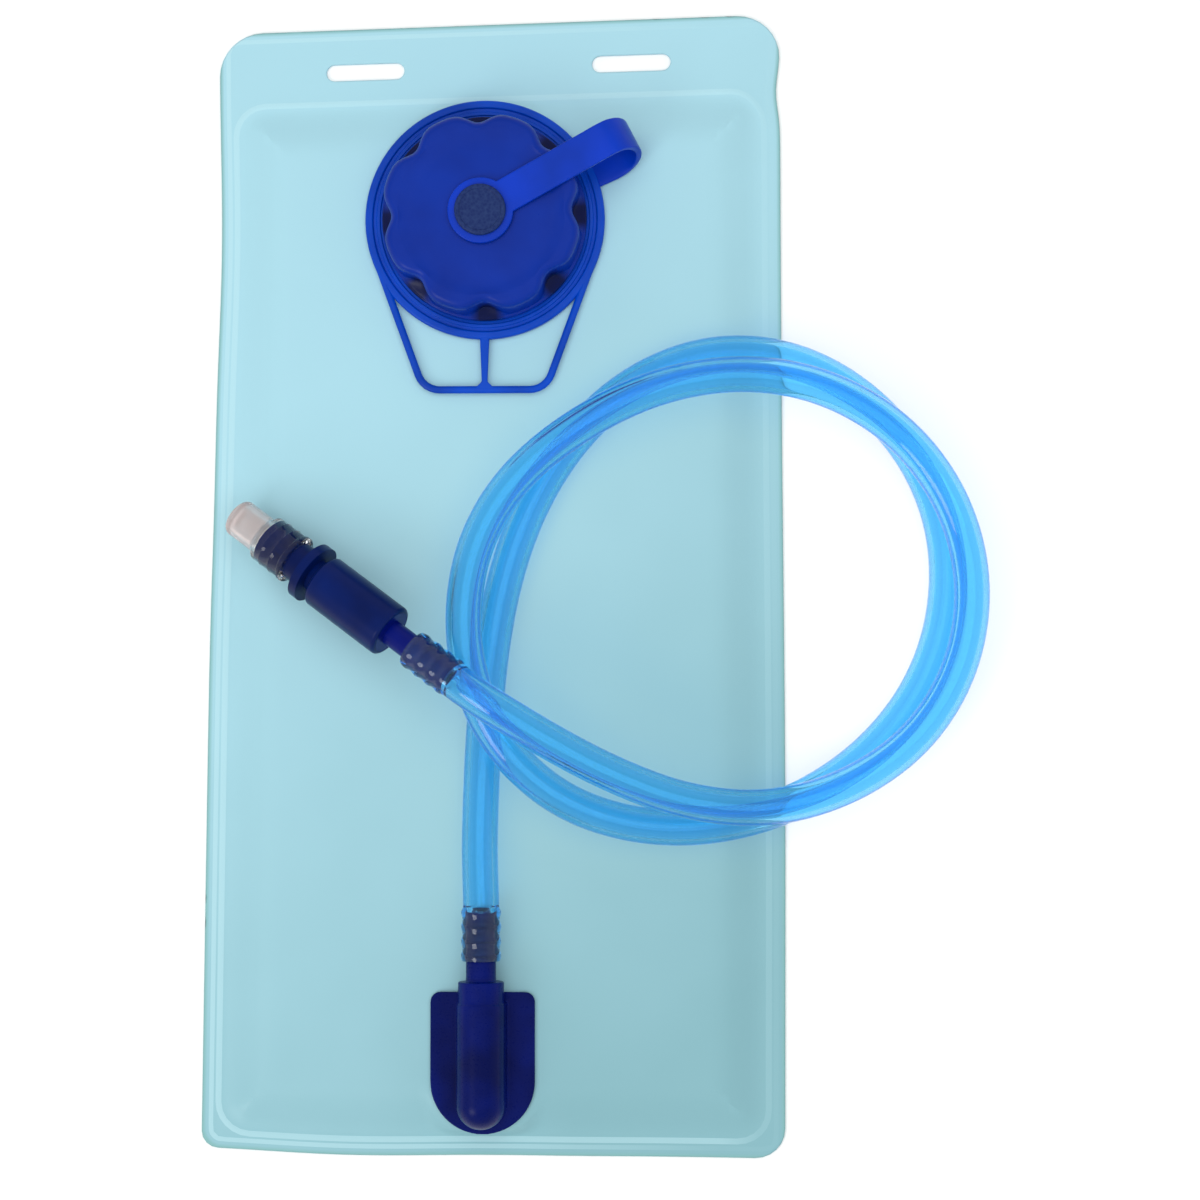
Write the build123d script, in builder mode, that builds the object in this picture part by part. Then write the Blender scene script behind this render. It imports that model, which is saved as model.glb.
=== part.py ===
"""Hydration bladder: a flat two-litre water bag with a screw cap, a drinking hose and a bite valve.

Millimetres. +X is across the bag, +Y runs up to the header that it hangs by, +Z is out of its face.
The origin is in the middle of the bag's back, on the surface that it lies on.
"""
from build123d import *
import os
from math import cos, pi, radians, sin, tan

os.makedirs("parts", exist_ok=True)

# ---- the bag -------------------------------------------------------------------------------
BAG_WIDTH = 175.0
BAG_LENGTH = 350.0
FILM_T = 0.4                 # one sheet of film
BAG_GAP = 5.0                # room between the sheets of the empty bag
TOP_CORNER_R = 13.5
BOTTOM_CORNER_R = 6.0
SEAM_W = 4.3                 # welded edge, both sides and the bottom
HEADER_H = 22.8              # welded strip at the top, down to the weld line
PANEL_CORNER_R = 10.0
SLOPE_W = 7.0                # width over which the front sheet rises from the seam
SLOT_SPACING = 83.0
SLOT_LENGTH = 24.5
SLOT_WIDTH = 5.2
SLOT_FROM_TOP = 13.5         # top edge of the bag to the slots' centre line
FILM_TOP = 2 * FILM_T + BAG_GAP

# ---- the filling port ------------------------------------------------------------------------
FILL_X = -1.8
NECK_R = 24.0
NECK_WALL = 2.5
NECK_H = 13.5                # above the film
FLANGE_W = 7.0               # beyond the neck, welded under the front sheet
FLANGE_T = 1.5
FLANGE_ROOM = 1.2            # flange to the foot of the header's slope
THREAD_PITCH = 4.0
THREAD_TURNS = 1.0
THREAD_DEPTH = 1.1
THREAD_ROOT_W = 2.0
THREAD_CREST_W = 1.0
THREAD_CLEAR = 0.35          # crest to root, each side
THREAD_BELOW_MOUTH = 2.9     # neck's mouth to the middle of the thread's upper end
WELD_BITE = 0.3              # how far a ridge is sunk into the wall that it stands on

# ---- the ring with the handle, round the neck --------------------------------------------------
RING_W = 13.0                # neck to the ring's edge
RING_T = 1.6
RING_CLEAR = 0.6             # neck to ring
RIM_W = 2.4
RIM_H = 2.4
RIDGE_W = 1.0                # low ridge inside the rim
RIDGE_H = 2.1
RIDGE_GAP = 1.2              # rim to ridge
LAY_CLEAR = 0.1              # between the film and what lies on it
HANDLE_LEAN = 20.1           # degrees, the legs' lean from +Y
HANDLE_SINK = 0.15           # legs' outer sides inside the ring's edge, where they start
HANDLE_OUT = 15.5            # ring's edge to the middle of the bar
HANDLE_W = 2.3
HANDLE_T = 1.6
HANDLE_LIFT = 0.8            # handle above the ring's underside
HANDLE_CORNER_R = 7.0
RIB_W = 3.0
RIB_TIP_W = 1.8
RIB_FOOT_W = 6.8
RIB_FOOT_H = 2.5

# ---- the cap ---------------------------------------------------------------------------------
CAP_WALL = 4.55              # root of the cap's thread to the tops of its lobes
CAP_LOBES = 8
LOBE_TURN = 3.0              # degrees, first notch from +X
NOTCH_R = 9.0
NOTCH_DEPTH = 2.1
NOTCH_EDGE_R = 3.0
CAP_EDGE_R = 2.0
CAP_TOP_T = 2.6
CAP_RIM_W = 1.5              # rim beyond the lobes
CAP_RIM_H = 2.2
CAP_CLEAR = 0.6              # cap's lower edge above the ring
GASKET_T = 1.6
GASKET_W = 3.9
GASKET_CLEAR = 0.4           # gasket to the neck's mouth
BUTTON_R = 7.8
BUTTON_HEAD_T = 1.6
BUTTON_EDGE_R = 0.6
SHANK_R = 3.5
SHANK_DEPTH = 1.8            # into the cap

# ---- the strap that keeps the cap ------------------------------------------------------------
STRAP_W = 10.5
STRAP_T = 2.0
STRAP_TURN = 28.0            # degrees, where it points from +X
STRAP_OUT = 15.0             # ring's edge to the outside of the fold
EYE_R = 10.0
EYE_CLEAR = 0.5              # eye to the button's shank
STRAP_CLEAR = 0.2            # eye to the cap, and eye to the button's head
STRAP_END_CLEAR = 0.4        # strap's lower end to the ring

# ---- the outlet --------------------------------------------------------------------------------
OUTLET_X = -2.2
OUTLET_W = 32.0
OUTLET_LENGTH = 43.3
OUTLET_FROM_BOTTOM = 7.7     # bottom edge of the bag to the plate's round end
OUTLET_T = 1.4
OUTLET_CORNER_R = 3.0
DOME_R = 7.5
DOME_WALL = 2.0
DOME_END = 2.3               # dome's round end inside the plate's round end
DOME_FRONT = 3.0             # dome's flat end inside the plate's flat end
SPOUT_R = 7.0
SPOUT_OUT = 3.8              # spout's face beyond the plate's flat end
DOME_LIFT = 0.1              # spout's axis above the dome's own radius
COLLAR_R = 4.6
COLLAR_LENGTH = 6.2

# ---- the hose and its barbs ----------------------------------------------------------------------
HOSE_R = 5.5
HOSE_BORE_R = 3.6
BARB_LOOSE = 0.4             # barb's root inside the hose's bore
BARB_BITE = 0.35             # barb's ridges into the hose's wall
BARB_PITCH = 4.4
BARB_COUNT = 3
BARB_WALL = 1.0
BARB_FOOT = 1.5              # plain length between the hose's end and the first barb

# ---- the bite valve, measured back from its tip --------------------------------------------------
VALVE_LENGTH = 72.0          # tip to the hose's end
TIP_R = 6.0
TIP_LENGTH = 12.3
TIP_WALL = 2.0
SLIT_LENGTH = 6.5
SLIT_W = 0.4
SHEATH_R = 7.5
SHEATH_END = 25.0
SPIGOT_R = 5.4
SPIGOT_START = 13.6
SPIGOT_CLEAR = 0.05
STEM_R = 6.2
STEM_BORE_R = 2.8
PULL_LIP = 1.0               # pull flange beyond the body
PULL_START = 30.0
PULL_T = 2.8
PLUNGER_R = 5.3
BODY_START = 35.4
BODY_WALL = 1.95
BODY_LENGTH = 28.0
BODY_LIP = 2.2
PISTON_STEP = 1.1            # body's bore beyond the plunger
BODY_SEAT_STEP = 0.6         # wider bore that takes the barb's disc
BODY_EDGE_R = 1.2
SLIDE_CLEAR = 0.1
PISTON_START = 47.0
PISTON_LENGTH = 5.0
NOSE_R = 2.9
NOSE_END = 59.5
NOSE_BORE_R = 1.9
NOSE_BORE_END = 55.4
PORT_R = 1.2
PORT_AT = 54.0               # cross hole that lets the water into the stem
SEAL_SECTION_R = 0.75        # both seal rings
SEAL_WIDTH = 1.7             # their grooves
SEAL_CLEAR = 0.05            # ring to the bore that it seals
VALVE_PLUG_T = 3.4           # the barb's disc in the back of the valve
NECK_TUBE_R = 4.0
SEAT_R = 3.7                 # socket that the nose shuts
SEAT_DEPTH = 2.0
SHEATH_CLEAR = 0.3           # sheath's ends to the stem's shoulders
TIP_EDGE_R = 1.5

# ---- heights and places that follow --------------------------------------------------------------
FLANGE_R = NECK_R + FLANGE_W
BORE_R = NECK_R - NECK_WALL
RING_R = NECK_R + RING_W
PORT_Y = BAG_LENGTH / 2 - HEADER_H - SLOPE_W - FLANGE_ROOM - FLANGE_R
FLANGE_Z = FILM_T + BAG_GAP - FLANGE_T
NECK_TOP = FILM_TOP + NECK_H
NECK_THREAD_Z = NECK_TOP - THREAD_BELOW_MOUTH - THREAD_PITCH * THREAD_TURNS
CAP_THREAD_Z = NECK_THREAD_Z - THREAD_PITCH / 2
CAP_BORE_R = NECK_R + THREAD_DEPTH + THREAD_CLEAR
CAP_R = CAP_BORE_R + CAP_WALL
CAP_RIM_R = CAP_R + CAP_RIM_W
RING_Z = FILM_TOP + LAY_CLEAR
CAP_Z = RING_Z + RING_T + CAP_CLEAR
GASKET_Z = NECK_TOP + GASKET_CLEAR
CAP_INSIDE_Z = GASKET_Z + GASKET_T
CAP_TOP = CAP_INSIDE_Z + CAP_TOP_T
EYE_Z = CAP_TOP + STRAP_CLEAR
HEAD_Z = EYE_Z + STRAP_T + STRAP_CLEAR
OUTLET_Z = FILM_TOP + LAY_CLEAR
PLATE_END_Y = -BAG_LENGTH / 2 + OUTLET_FROM_BOTTOM
PLATE_FLAT_Y = PLATE_END_Y + OUTLET_LENGTH
PLATE_ARC_Y = PLATE_END_Y + OUTLET_W / 2
DOME_ARC_Y = PLATE_END_Y + DOME_END + DOME_R
DOME_FLAT_Y = PLATE_FLAT_Y - DOME_FRONT
SPOUT_FACE_Y = PLATE_FLAT_Y + SPOUT_OUT
HOSE_START_Y = SPOUT_FACE_Y + COLLAR_LENGTH
SPOUT_AXIS_Z = OUTLET_Z + DOME_R + DOME_LIFT
BARB_ROOT_R = HOSE_BORE_R - BARB_LOOSE
BARB_CREST_R = HOSE_BORE_R + BARB_BITE
BARB_BORE_R = BARB_ROOT_R - BARB_WALL
HOSE_RUN = PORT_Y - HOSE_START_Y

PORT = Plane(origin=(FILL_X, PORT_Y, 0))
SPOUT = Plane(origin=(OUTLET_X, 0, SPOUT_AXIS_Z), x_dir=(0, 1, 0), z_dir=(1, 0, 0))

# How the hose lies from the spout to the bite valve: up the bag, twice round to the right, the second time
# on the first, then over both of them to the left. Each row is x, the share of the run from the spout to
# the port, and z.
HOSE_LAY = [
    (OUTLET_X, 0.0, SPOUT_AXIS_Z),
    (-2.9, 0.0705, 13.2),
    (-2.7, 0.1850, 12.2),
    (-1.7, 0.2996, 11.7),
    (0.3, 0.4097, 11.7),
    (4.8, 0.5176, 11.7),
    (13.2, 0.6189, 11.7),
    (26.6, 0.7093, 11.8),
    (45.0, 0.7797, 12.0),
    (67.5, 0.8167, 12.3),
    (91.5, 0.8106, 11.4),
    (113.5, 0.7612, 8.8),
    (130.5, 0.6784, 6.6),
    (139.6, 0.5771, 5.9),
    (139.8, 0.4648, 5.8),
    (131.5, 0.3590, 6.4),
    (114.6, 0.2687, 8.6),
    (91.5, 0.2053, 11.4),
    (66.5, 0.1762, 12.4),
    (42.5, 0.1806, 14.0),
    (21.0, 0.2159, 18.0),
    (4.4, 0.2841, 22.6),
    (-5.2, 0.3722, 24.2),
    (-7.6, 0.4736, 23.4),
    (-2.6, 0.5727, 23.0),
    (10.8, 0.6590, 23.2),
    (33.5, 0.7313, 23.3),
    (57.0, 0.7736, 23.4),
    (82.0, 0.7850, 22.8),
    (106.0, 0.7604, 21.0),
    (127.0, 0.7004, 18.9),
    (141.6, 0.6101, 16.9),
    (147.6, 0.5022, 15.0),
    (143.8, 0.3921, 15.2),
    (130.6, 0.2974, 17.0),
    (110.0, 0.2335, 20.4),
    (86.0, 0.2026, 23.6),
    (61.5, 0.2115, 27.4),
    (39.0, 0.2485, 31.8),
    (18.0, 0.2978, 35.4),
    (-3.0, 0.3559, 36.6),
    (-21.5, 0.4159, 30.6),
]
ROUTE = [(x, HOSE_START_Y + share * HOSE_RUN, z) for x, share, z in HOSE_LAY]


def turn_degrees(before, at, after):
    """How far the route turns at one of its points."""
    return (Vector(at) - Vector(before)).get_angle(Vector(after) - Vector(at))


def bend_radii(points):
    """The largest tangent arc at each inner point that its two runs leave room for."""
    radii = []
    for before, at, after in zip(points, points[1:], points[2:]):
        shorter = min((Vector(at) - Vector(before)).length, (Vector(after) - Vector(at)).length)
        radii.append(0.45 * shorter / tan(radians(turn_degrees(before, at, after)) / 2))
    return radii


RADII = bend_radii(ROUTE)
HOSE_END = Vector(*ROUTE[-1])
OUTWARD = (HOSE_END - Vector(*ROUTE[-2])).normalized()
TIP = HOSE_END + OUTWARD * VALVE_LENGTH
ACROSS = Vector(0, 0, 1).cross(OUTWARD).normalized()
# Bite valve profiles: local x is the distance back from the tip, local y the radius.
VALVE = Plane(origin=TIP, x_dir=-OUTWARD, z_dir=ACROSS)
VALVE_AXIS = Axis(TIP, -OUTWARD)
BODY_BORE_R = PLUNGER_R + PISTON_STEP
BODY_SEAT_R = BODY_BORE_R + BODY_SEAT_STEP
BODY_R = BODY_BORE_R + BODY_WALL
PULL_R = BODY_R + PULL_LIP
BODY_END = BODY_START + BODY_LENGTH
PLUG_START = BODY_END - VALVE_PLUG_T
PULL_END = PULL_START + PULL_T
PISTON_END = PISTON_START + PISTON_LENGTH
PISTON_R = BODY_BORE_R - SLIDE_CLEAR
PISTON_GROOVE = (PISTON_START + PISTON_END) / 2 - SEAL_SECTION_R
PISTON_GROOVE_R = BODY_BORE_R - 2 * SEAL_SECTION_R - SEAL_CLEAR
NOSE_GROOVE = NOSE_END - 2 * SEAL_SECTION_R
NOSE_GROOVE_R = SEAT_R - 2 * SEAL_SECTION_R - SEAL_CLEAR


# ---- the two sheets ------------------------------------------------------------------------------
def panel(inset):
    """The bag's unwelded panel, made smaller all round by inset."""
    width = BAG_WIDTH - 2 * SEAM_W
    length = BAG_LENGTH - HEADER_H - SEAM_W
    with Locations((0, (SEAM_W - HEADER_H) / 2)):
        RectangleRounded(width - 2 * inset, length - 2 * inset, PANEL_CORNER_R)


with BuildSketch() as sheet_outline:
    Rectangle(BAG_WIDTH, BAG_LENGTH)
    fillet(sheet_outline.vertices().group_by(Axis.Y)[-1], TOP_CORNER_R)
    fillet(sheet_outline.vertices().group_by(Axis.Y)[0], BOTTOM_CORNER_R)
    with Locations((0, BAG_LENGTH / 2 - SLOT_FROM_TOP)):
        with GridLocations(SLOT_SPACING, 0, 2, 1):
            SlotOverall(SLOT_LENGTH, SLOT_WIDTH, mode=Mode.SUBTRACT)

with BuildPart() as back_film:
    with BuildSketch():
        add(sheet_outline.sketch)
    extrude(amount=FILM_T)
back_film.part.label = "back_film"
export_step(back_film.part, "parts/back_film.step")

with BuildPart() as front_film:
    with BuildSketch(Plane.XY.offset(FILM_T)):
        add(sheet_outline.sketch)
    extrude(amount=FILM_T)
    with BuildSketch(Plane.XY.offset(2 * FILM_T)):
        panel(0)
    with BuildSketch(Plane.XY.offset(FILM_TOP)):
        panel(SLOPE_W)
    loft(ruled=True)
    with BuildSketch(Plane.XY.offset(FILM_T)):
        panel(0)
    with BuildSketch(Plane.XY.offset(FILM_TOP - FILM_T)):
        panel(SLOPE_W)
    loft(ruled=True, mode=Mode.SUBTRACT)
    with BuildSketch(PORT.offset(FILM_T)):
        Circle(NECK_R + LAY_CLEAR)
    extrude(amount=FILM_TOP, mode=Mode.SUBTRACT)
    with BuildSketch(Plane.XY.offset(FILM_T)):
        with Locations((OUTLET_X, DOME_ARC_Y)):
            Circle(DOME_R - DOME_WALL)
    extrude(amount=FILM_TOP, mode=Mode.SUBTRACT)
front_film.part.label = "front_film"
export_step(front_film.part, "parts/front_film.step")


# ---- the filling port ----------------------------------------------------------------------------
def thread_ridge(start_z, wall_r, crest_r):
    """A single-start ridge that stands on a wall and winds round the port's axis."""
    inward = 1 if crest_r < wall_r else -1
    sunk_r = wall_r + inward * WELD_BITE
    Helix(THREAD_PITCH, THREAD_PITCH * THREAD_TURNS, wall_r, center=(FILL_X, PORT_Y, start_z))
    return [
        (sunk_r - wall_r, -THREAD_ROOT_W / 2),
        (crest_r - wall_r, -THREAD_CREST_W / 2),
        (crest_r - wall_r, THREAD_CREST_W / 2),
        (sunk_r - wall_r, THREAD_ROOT_W / 2),
    ]


with BuildPart() as neck_ridge:
    with BuildLine() as neck_helix:
        neck_profile = thread_ridge(NECK_THREAD_Z, NECK_R, NECK_R + THREAD_DEPTH)
    with BuildSketch(Plane(neck_helix.line @ 0, x_dir=(1, 0, 0), z_dir=neck_helix.line % 0)):
        Polygon(*neck_profile, align=None)
    sweep(path=neck_helix.line, is_frenet=True)

with BuildPart() as fill_collar:
    with BuildSketch(PORT.offset(FLANGE_Z)):
        Circle(FLANGE_R)
    extrude(amount=FLANGE_T)
    with BuildSketch(PORT.offset(FLANGE_Z)):
        Circle(NECK_R)
    extrude(amount=NECK_TOP - FLANGE_Z)
    add(neck_ridge.part)
    with BuildSketch(PORT.offset(FLANGE_Z)):
        Circle(BORE_R)
    extrude(amount=NECK_TOP - FLANGE_Z, mode=Mode.SUBTRACT)
fill_collar.part.label = "fill_collar"
export_step(fill_collar.part, "parts/fill_collar.step")

# ---- the ring and its handle ---------------------------------------------------------------------
LEAN = radians(HANDLE_LEAN)
HANDLE_DEPTH = RING_R + HANDLE_OUT
LEG_R = RING_R - HANDLE_SINK - HANDLE_W / 2
LEG_START = (LEG_R * cos(LEAN), -LEG_R * sin(LEAN))
HANDLE_CORNER_X = (LEG_R - HANDLE_DEPTH * sin(LEAN)) / cos(LEAN)
RIDGE_R = RING_R - RIM_W - RIDGE_GAP

with BuildPart() as handle_ring:
    with BuildSketch(PORT.offset(RING_Z)):
        Circle(RING_R)
        Circle(NECK_R + RING_CLEAR, mode=Mode.SUBTRACT)
    extrude(amount=RING_T)
    with BuildSketch(PORT.offset(RING_Z)):
        Circle(RING_R)
        Circle(RING_R - RIM_W, mode=Mode.SUBTRACT)
    extrude(amount=RIM_H)
    with BuildSketch(PORT.offset(RING_Z)):
        Circle(RIDGE_R)
        Circle(RIDGE_R - RIDGE_W, mode=Mode.SUBTRACT)
    extrude(amount=RIDGE_H)
    with BuildSketch(PORT.offset(RING_Z + HANDLE_LIFT)):
        with BuildLine():
            FilletPolyline(
                LEG_START,
                (HANDLE_CORNER_X, -HANDLE_DEPTH),
                (-HANDLE_CORNER_X, -HANDLE_DEPTH),
                (-LEG_START[0], LEG_START[1]),
                radius=HANDLE_CORNER_R,
            )
        trace(line_width=HANDLE_W)
        Polygon(
            (-RIB_W / 2, -RING_R + RIM_W / 2),
            (RIB_W / 2, -RING_R + RIM_W / 2),
            (RIB_TIP_W / 2, -HANDLE_DEPTH + RIB_FOOT_H),
            (RIB_FOOT_W / 2, -HANDLE_DEPTH),
            (-RIB_FOOT_W / 2, -HANDLE_DEPTH),
            (-RIB_TIP_W / 2, -HANDLE_DEPTH + RIB_FOOT_H),
            align=None,
        )
    extrude(amount=HANDLE_T)
handle_ring.part.label = "handle_ring"
export_step(handle_ring.part, "parts/handle_ring.step")

# ---- the strap -----------------------------------------------------------------------------------
STRAP_DIR = (cos(radians(STRAP_TURN)), sin(radians(STRAP_TURN)), 0)
STRAP_NORMAL = (sin(radians(STRAP_TURN)), -cos(radians(STRAP_TURN)), 0)
STRAP_HIGH = EYE_Z + STRAP_T / 2
STRAP_LOW = RING_Z + LAY_CLEAR + STRAP_T / 2
FOLD_R = (STRAP_HIGH - STRAP_LOW) / 2
FOLD_START = RING_R + STRAP_OUT - STRAP_T / 2 - FOLD_R

with BuildPart() as tether:
    with BuildSketch(Plane(origin=(FILL_X, PORT_Y, 0), x_dir=STRAP_DIR, z_dir=STRAP_NORMAL)):
        with BuildLine() as strap_line:
            Line((SHANK_R + EYE_CLEAR, STRAP_HIGH), (FOLD_START, STRAP_HIGH))
            RadiusArc((FOLD_START, STRAP_HIGH), (FOLD_START, STRAP_LOW), FOLD_R)
            Line((FOLD_START, STRAP_LOW), (RING_R + STRAP_END_CLEAR, STRAP_LOW))
        trace(line_width=STRAP_T)
    extrude(amount=STRAP_W / 2, both=True)
    with BuildSketch(PORT.offset(EYE_Z)):
        Circle(EYE_R)
    extrude(amount=STRAP_T)
    with BuildSketch(PORT.offset(EYE_Z)):
        Circle(SHANK_R + EYE_CLEAR)
    extrude(amount=STRAP_T, mode=Mode.SUBTRACT)
    with BuildSketch(PORT.offset(RING_Z)):
        Circle(RING_R + STRAP_END_CLEAR)
    extrude(amount=RIM_H, mode=Mode.SUBTRACT)
tether.part.label = "tether"
export_step(tether.part, "parts/tether.step")

# ---- the cap -------------------------------------------------------------------------------------
with BuildPart() as cap_ridge:
    with BuildLine() as cap_helix:
        cap_profile = thread_ridge(CAP_THREAD_Z, CAP_BORE_R, CAP_BORE_R - THREAD_DEPTH)
    with BuildSketch(Plane(cap_helix.line @ 0, x_dir=(1, 0, 0), z_dir=cap_helix.line % 0)):
        Polygon(*cap_profile, align=None)
    sweep(path=cap_helix.line, is_frenet=True)

with BuildPart() as cap_shell:
    with BuildSketch(PORT.offset(CAP_Z)) as lobed_outline:
        Circle(CAP_R)
        with PolarLocations(CAP_R - NOTCH_DEPTH + NOTCH_R, CAP_LOBES, start_angle=LOBE_TURN):
            Circle(NOTCH_R, mode=Mode.SUBTRACT)
        fillet(lobed_outline.vertices(), NOTCH_EDGE_R)
    extrude(amount=CAP_TOP - CAP_Z)
    fillet(cap_shell.faces().sort_by(Axis.Z)[-1].edges(), CAP_EDGE_R)
    with BuildSketch(PORT.offset(CAP_Z)):
        Circle(CAP_RIM_R)
    extrude(amount=CAP_RIM_H)
    with BuildSketch(PORT.offset(CAP_Z)):
        Circle(CAP_BORE_R)
    extrude(amount=CAP_INSIDE_Z - CAP_Z, mode=Mode.SUBTRACT)
    with BuildSketch(PORT.offset(CAP_TOP - SHANK_DEPTH)):
        Circle(SHANK_R)
    extrude(amount=SHANK_DEPTH, mode=Mode.SUBTRACT)
    add(cap_ridge.part)
cap_shell.part.label = "cap_shell"
export_step(cap_shell.part, "parts/cap_shell.step")

with BuildPart() as cap_gasket:
    with BuildSketch(PORT.offset(GASKET_Z)):
        Circle(CAP_BORE_R)
        Circle(CAP_BORE_R - GASKET_W, mode=Mode.SUBTRACT)
    extrude(amount=GASKET_T)
cap_gasket.part.label = "cap_gasket"
export_step(cap_gasket.part, "parts/cap_gasket.step")

with BuildPart() as cap_button:
    with BuildSketch(PORT.offset(CAP_TOP - SHANK_DEPTH)):
        Circle(SHANK_R)
    extrude(amount=HEAD_Z - CAP_TOP + SHANK_DEPTH)
    with BuildSketch(PORT.offset(HEAD_Z)):
        Circle(BUTTON_R)
    extrude(amount=BUTTON_HEAD_T)
    fillet(cap_button.faces().sort_by(Axis.Z)[-1].edges(), BUTTON_EDGE_R)
cap_button.part.label = "cap_button"
export_step(cap_button.part, "parts/cap_button.step")


# ---- the outlet ----------------------------------------------------------------------------------
def barb_outline(start, end):
    """Half a hose barb, from its foot at start to its thin mouth at end: (distance, radius) pairs."""
    step = BARB_PITCH if end > start else -BARB_PITCH
    foot = BARB_FOOT if end > start else -BARB_FOOT
    points = [(start, BARB_ROOT_R)]
    for number in range(BARB_COUNT):
        ridge = start + foot + number * step
        points += [(ridge, BARB_ROOT_R), (ridge, BARB_CREST_R), (ridge + step * 0.9, BARB_ROOT_R)]
    return points + [(end, BARB_ROOT_R)]


BARB_LENGTH = BARB_FOOT + BARB_PITCH * BARB_COUNT
SPOUT_AXIS = Axis((OUTLET_X, 0, SPOUT_AXIS_Z), (0, 1, 0))
BARB_TIP_Y = HOSE_START_Y + BARB_LENGTH


def dome_plan(radius, flat_y):
    """The dome seen from above: straight sides, flat at the spout and round at the far end."""
    with Locations((OUTLET_X, (flat_y + DOME_ARC_Y) / 2)):
        Rectangle(2 * radius, flat_y - DOME_ARC_Y)
    with Locations((OUTLET_X, DOME_ARC_Y)):
        Circle(radius)


def dome_side(radius, flat_y):
    """The upper half of the dome's section, along the spout's axis."""
    with Locations(((flat_y + DOME_ARC_Y) / 2, radius / 2)):
        Rectangle(flat_y - DOME_ARC_Y, radius)
    with Locations((DOME_ARC_Y, 0)):
        Circle(radius)
    with Locations((DOME_ARC_Y, -radius)):
        Rectangle(4 * radius, 2 * radius, mode=Mode.SUBTRACT)


with BuildPart() as outlet:
    with BuildSketch(Plane.XY.offset(OUTLET_Z)) as plate:
        with Locations((OUTLET_X, (PLATE_FLAT_Y + PLATE_ARC_Y) / 2)):
            Rectangle(OUTLET_W, PLATE_FLAT_Y - PLATE_ARC_Y)
        fillet(plate.vertices().group_by(Axis.Y)[-1], OUTLET_CORNER_R)
        with Locations((OUTLET_X, PLATE_ARC_Y)):
            Circle(OUTLET_W / 2)
    extrude(amount=OUTLET_T)
    with BuildSketch(Plane.XY.offset(OUTLET_Z)):
        dome_plan(DOME_R, DOME_FLAT_Y)
    extrude(amount=SPOUT_AXIS_Z - OUTLET_Z)
    with BuildSketch(SPOUT):
        dome_side(DOME_R, DOME_FLAT_Y)
    revolve(axis=SPOUT_AXIS)
    with BuildSketch(SPOUT):
        Polygon(
            (DOME_FLAT_Y, 0),
            (DOME_FLAT_Y, SPOUT_R),
            (SPOUT_FACE_Y, SPOUT_R),
            (SPOUT_FACE_Y, COLLAR_R),
            (HOSE_START_Y, COLLAR_R),
            *barb_outline(HOSE_START_Y, BARB_TIP_Y),
            (BARB_TIP_Y, 0),
            align=None,
        )
    revolve(axis=SPOUT_AXIS)
    with BuildSketch(Plane.XY.offset(OUTLET_Z)):
        dome_plan(DOME_R - DOME_WALL, DOME_FLAT_Y - DOME_WALL)
    extrude(amount=SPOUT_AXIS_Z - OUTLET_Z, mode=Mode.SUBTRACT)
    with BuildSketch(SPOUT):
        dome_side(DOME_R - DOME_WALL, DOME_FLAT_Y - DOME_WALL)
    revolve(axis=SPOUT_AXIS, mode=Mode.SUBTRACT)
    with BuildSketch(SPOUT):
        with Locations(((DOME_ARC_Y + BARB_TIP_Y) / 2, BARB_BORE_R / 2)):
            Rectangle(BARB_TIP_Y - DOME_ARC_Y, BARB_BORE_R)
    revolve(axis=SPOUT_AXIS, mode=Mode.SUBTRACT)
outlet.part.label = "outlet"
export_step(outlet.part, "parts/outlet.step")

# ---- the hose ------------------------------------------------------------------------------------
with BuildPart() as hose:
    with BuildLine() as hose_line:
        FilletPolyline(*ROUTE, radius=RADII)
    with BuildSketch(Plane(hose_line.line @ 0, z_dir=hose_line.line % 0)):
        Circle(HOSE_R)
        Circle(HOSE_BORE_R, mode=Mode.SUBTRACT)
    sweep(path=hose_line.line)
hose.part.label = "hose"
export_step(hose.part, "parts/hose.step")


# ---- the bite valve ------------------------------------------------------------------------------
with BuildPart() as valve_barb:
    with BuildSketch(VALVE):
        Polygon(
            (PLUG_START, BARB_BORE_R),
            (PLUG_START, BODY_SEAT_R),
            (BODY_END, BODY_SEAT_R),
            (BODY_END, NECK_TUBE_R),
            (VALVE_LENGTH, NECK_TUBE_R),
            *barb_outline(VALVE_LENGTH, VALVE_LENGTH + BARB_LENGTH),
            (VALVE_LENGTH + BARB_LENGTH, BARB_BORE_R),
            align=None,
        )
    revolve(axis=VALVE_AXIS)
    with BuildSketch(VALVE):
        with Locations((PLUG_START + SEAT_DEPTH / 2, SEAT_R / 2)):
            Rectangle(SEAT_DEPTH, SEAT_R)
    revolve(axis=VALVE_AXIS, mode=Mode.SUBTRACT)
valve_barb.part.label = "valve_barb"
export_step(valve_barb.part, "parts/valve_barb.step")

with BuildPart() as valve_body:
    with BuildSketch(VALVE):
        Polygon(
            (BODY_START, PLUNGER_R + SLIDE_CLEAR),
            (BODY_START, BODY_R - BODY_EDGE_R),
            (BODY_START + BODY_EDGE_R, BODY_R),
            (BODY_END - BODY_EDGE_R, BODY_R),
            (BODY_END, BODY_R - BODY_EDGE_R),
            (BODY_END, BODY_SEAT_R),
            (PLUG_START, BODY_SEAT_R),
            (PLUG_START, BODY_BORE_R),
            (BODY_START + BODY_LIP, BODY_BORE_R),
            (BODY_START + BODY_LIP, PLUNGER_R + SLIDE_CLEAR),
            align=None,
        )
    revolve(axis=VALVE_AXIS)
valve_body.part.label = "valve_body"
export_step(valve_body.part, "parts/valve_body.step")

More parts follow.
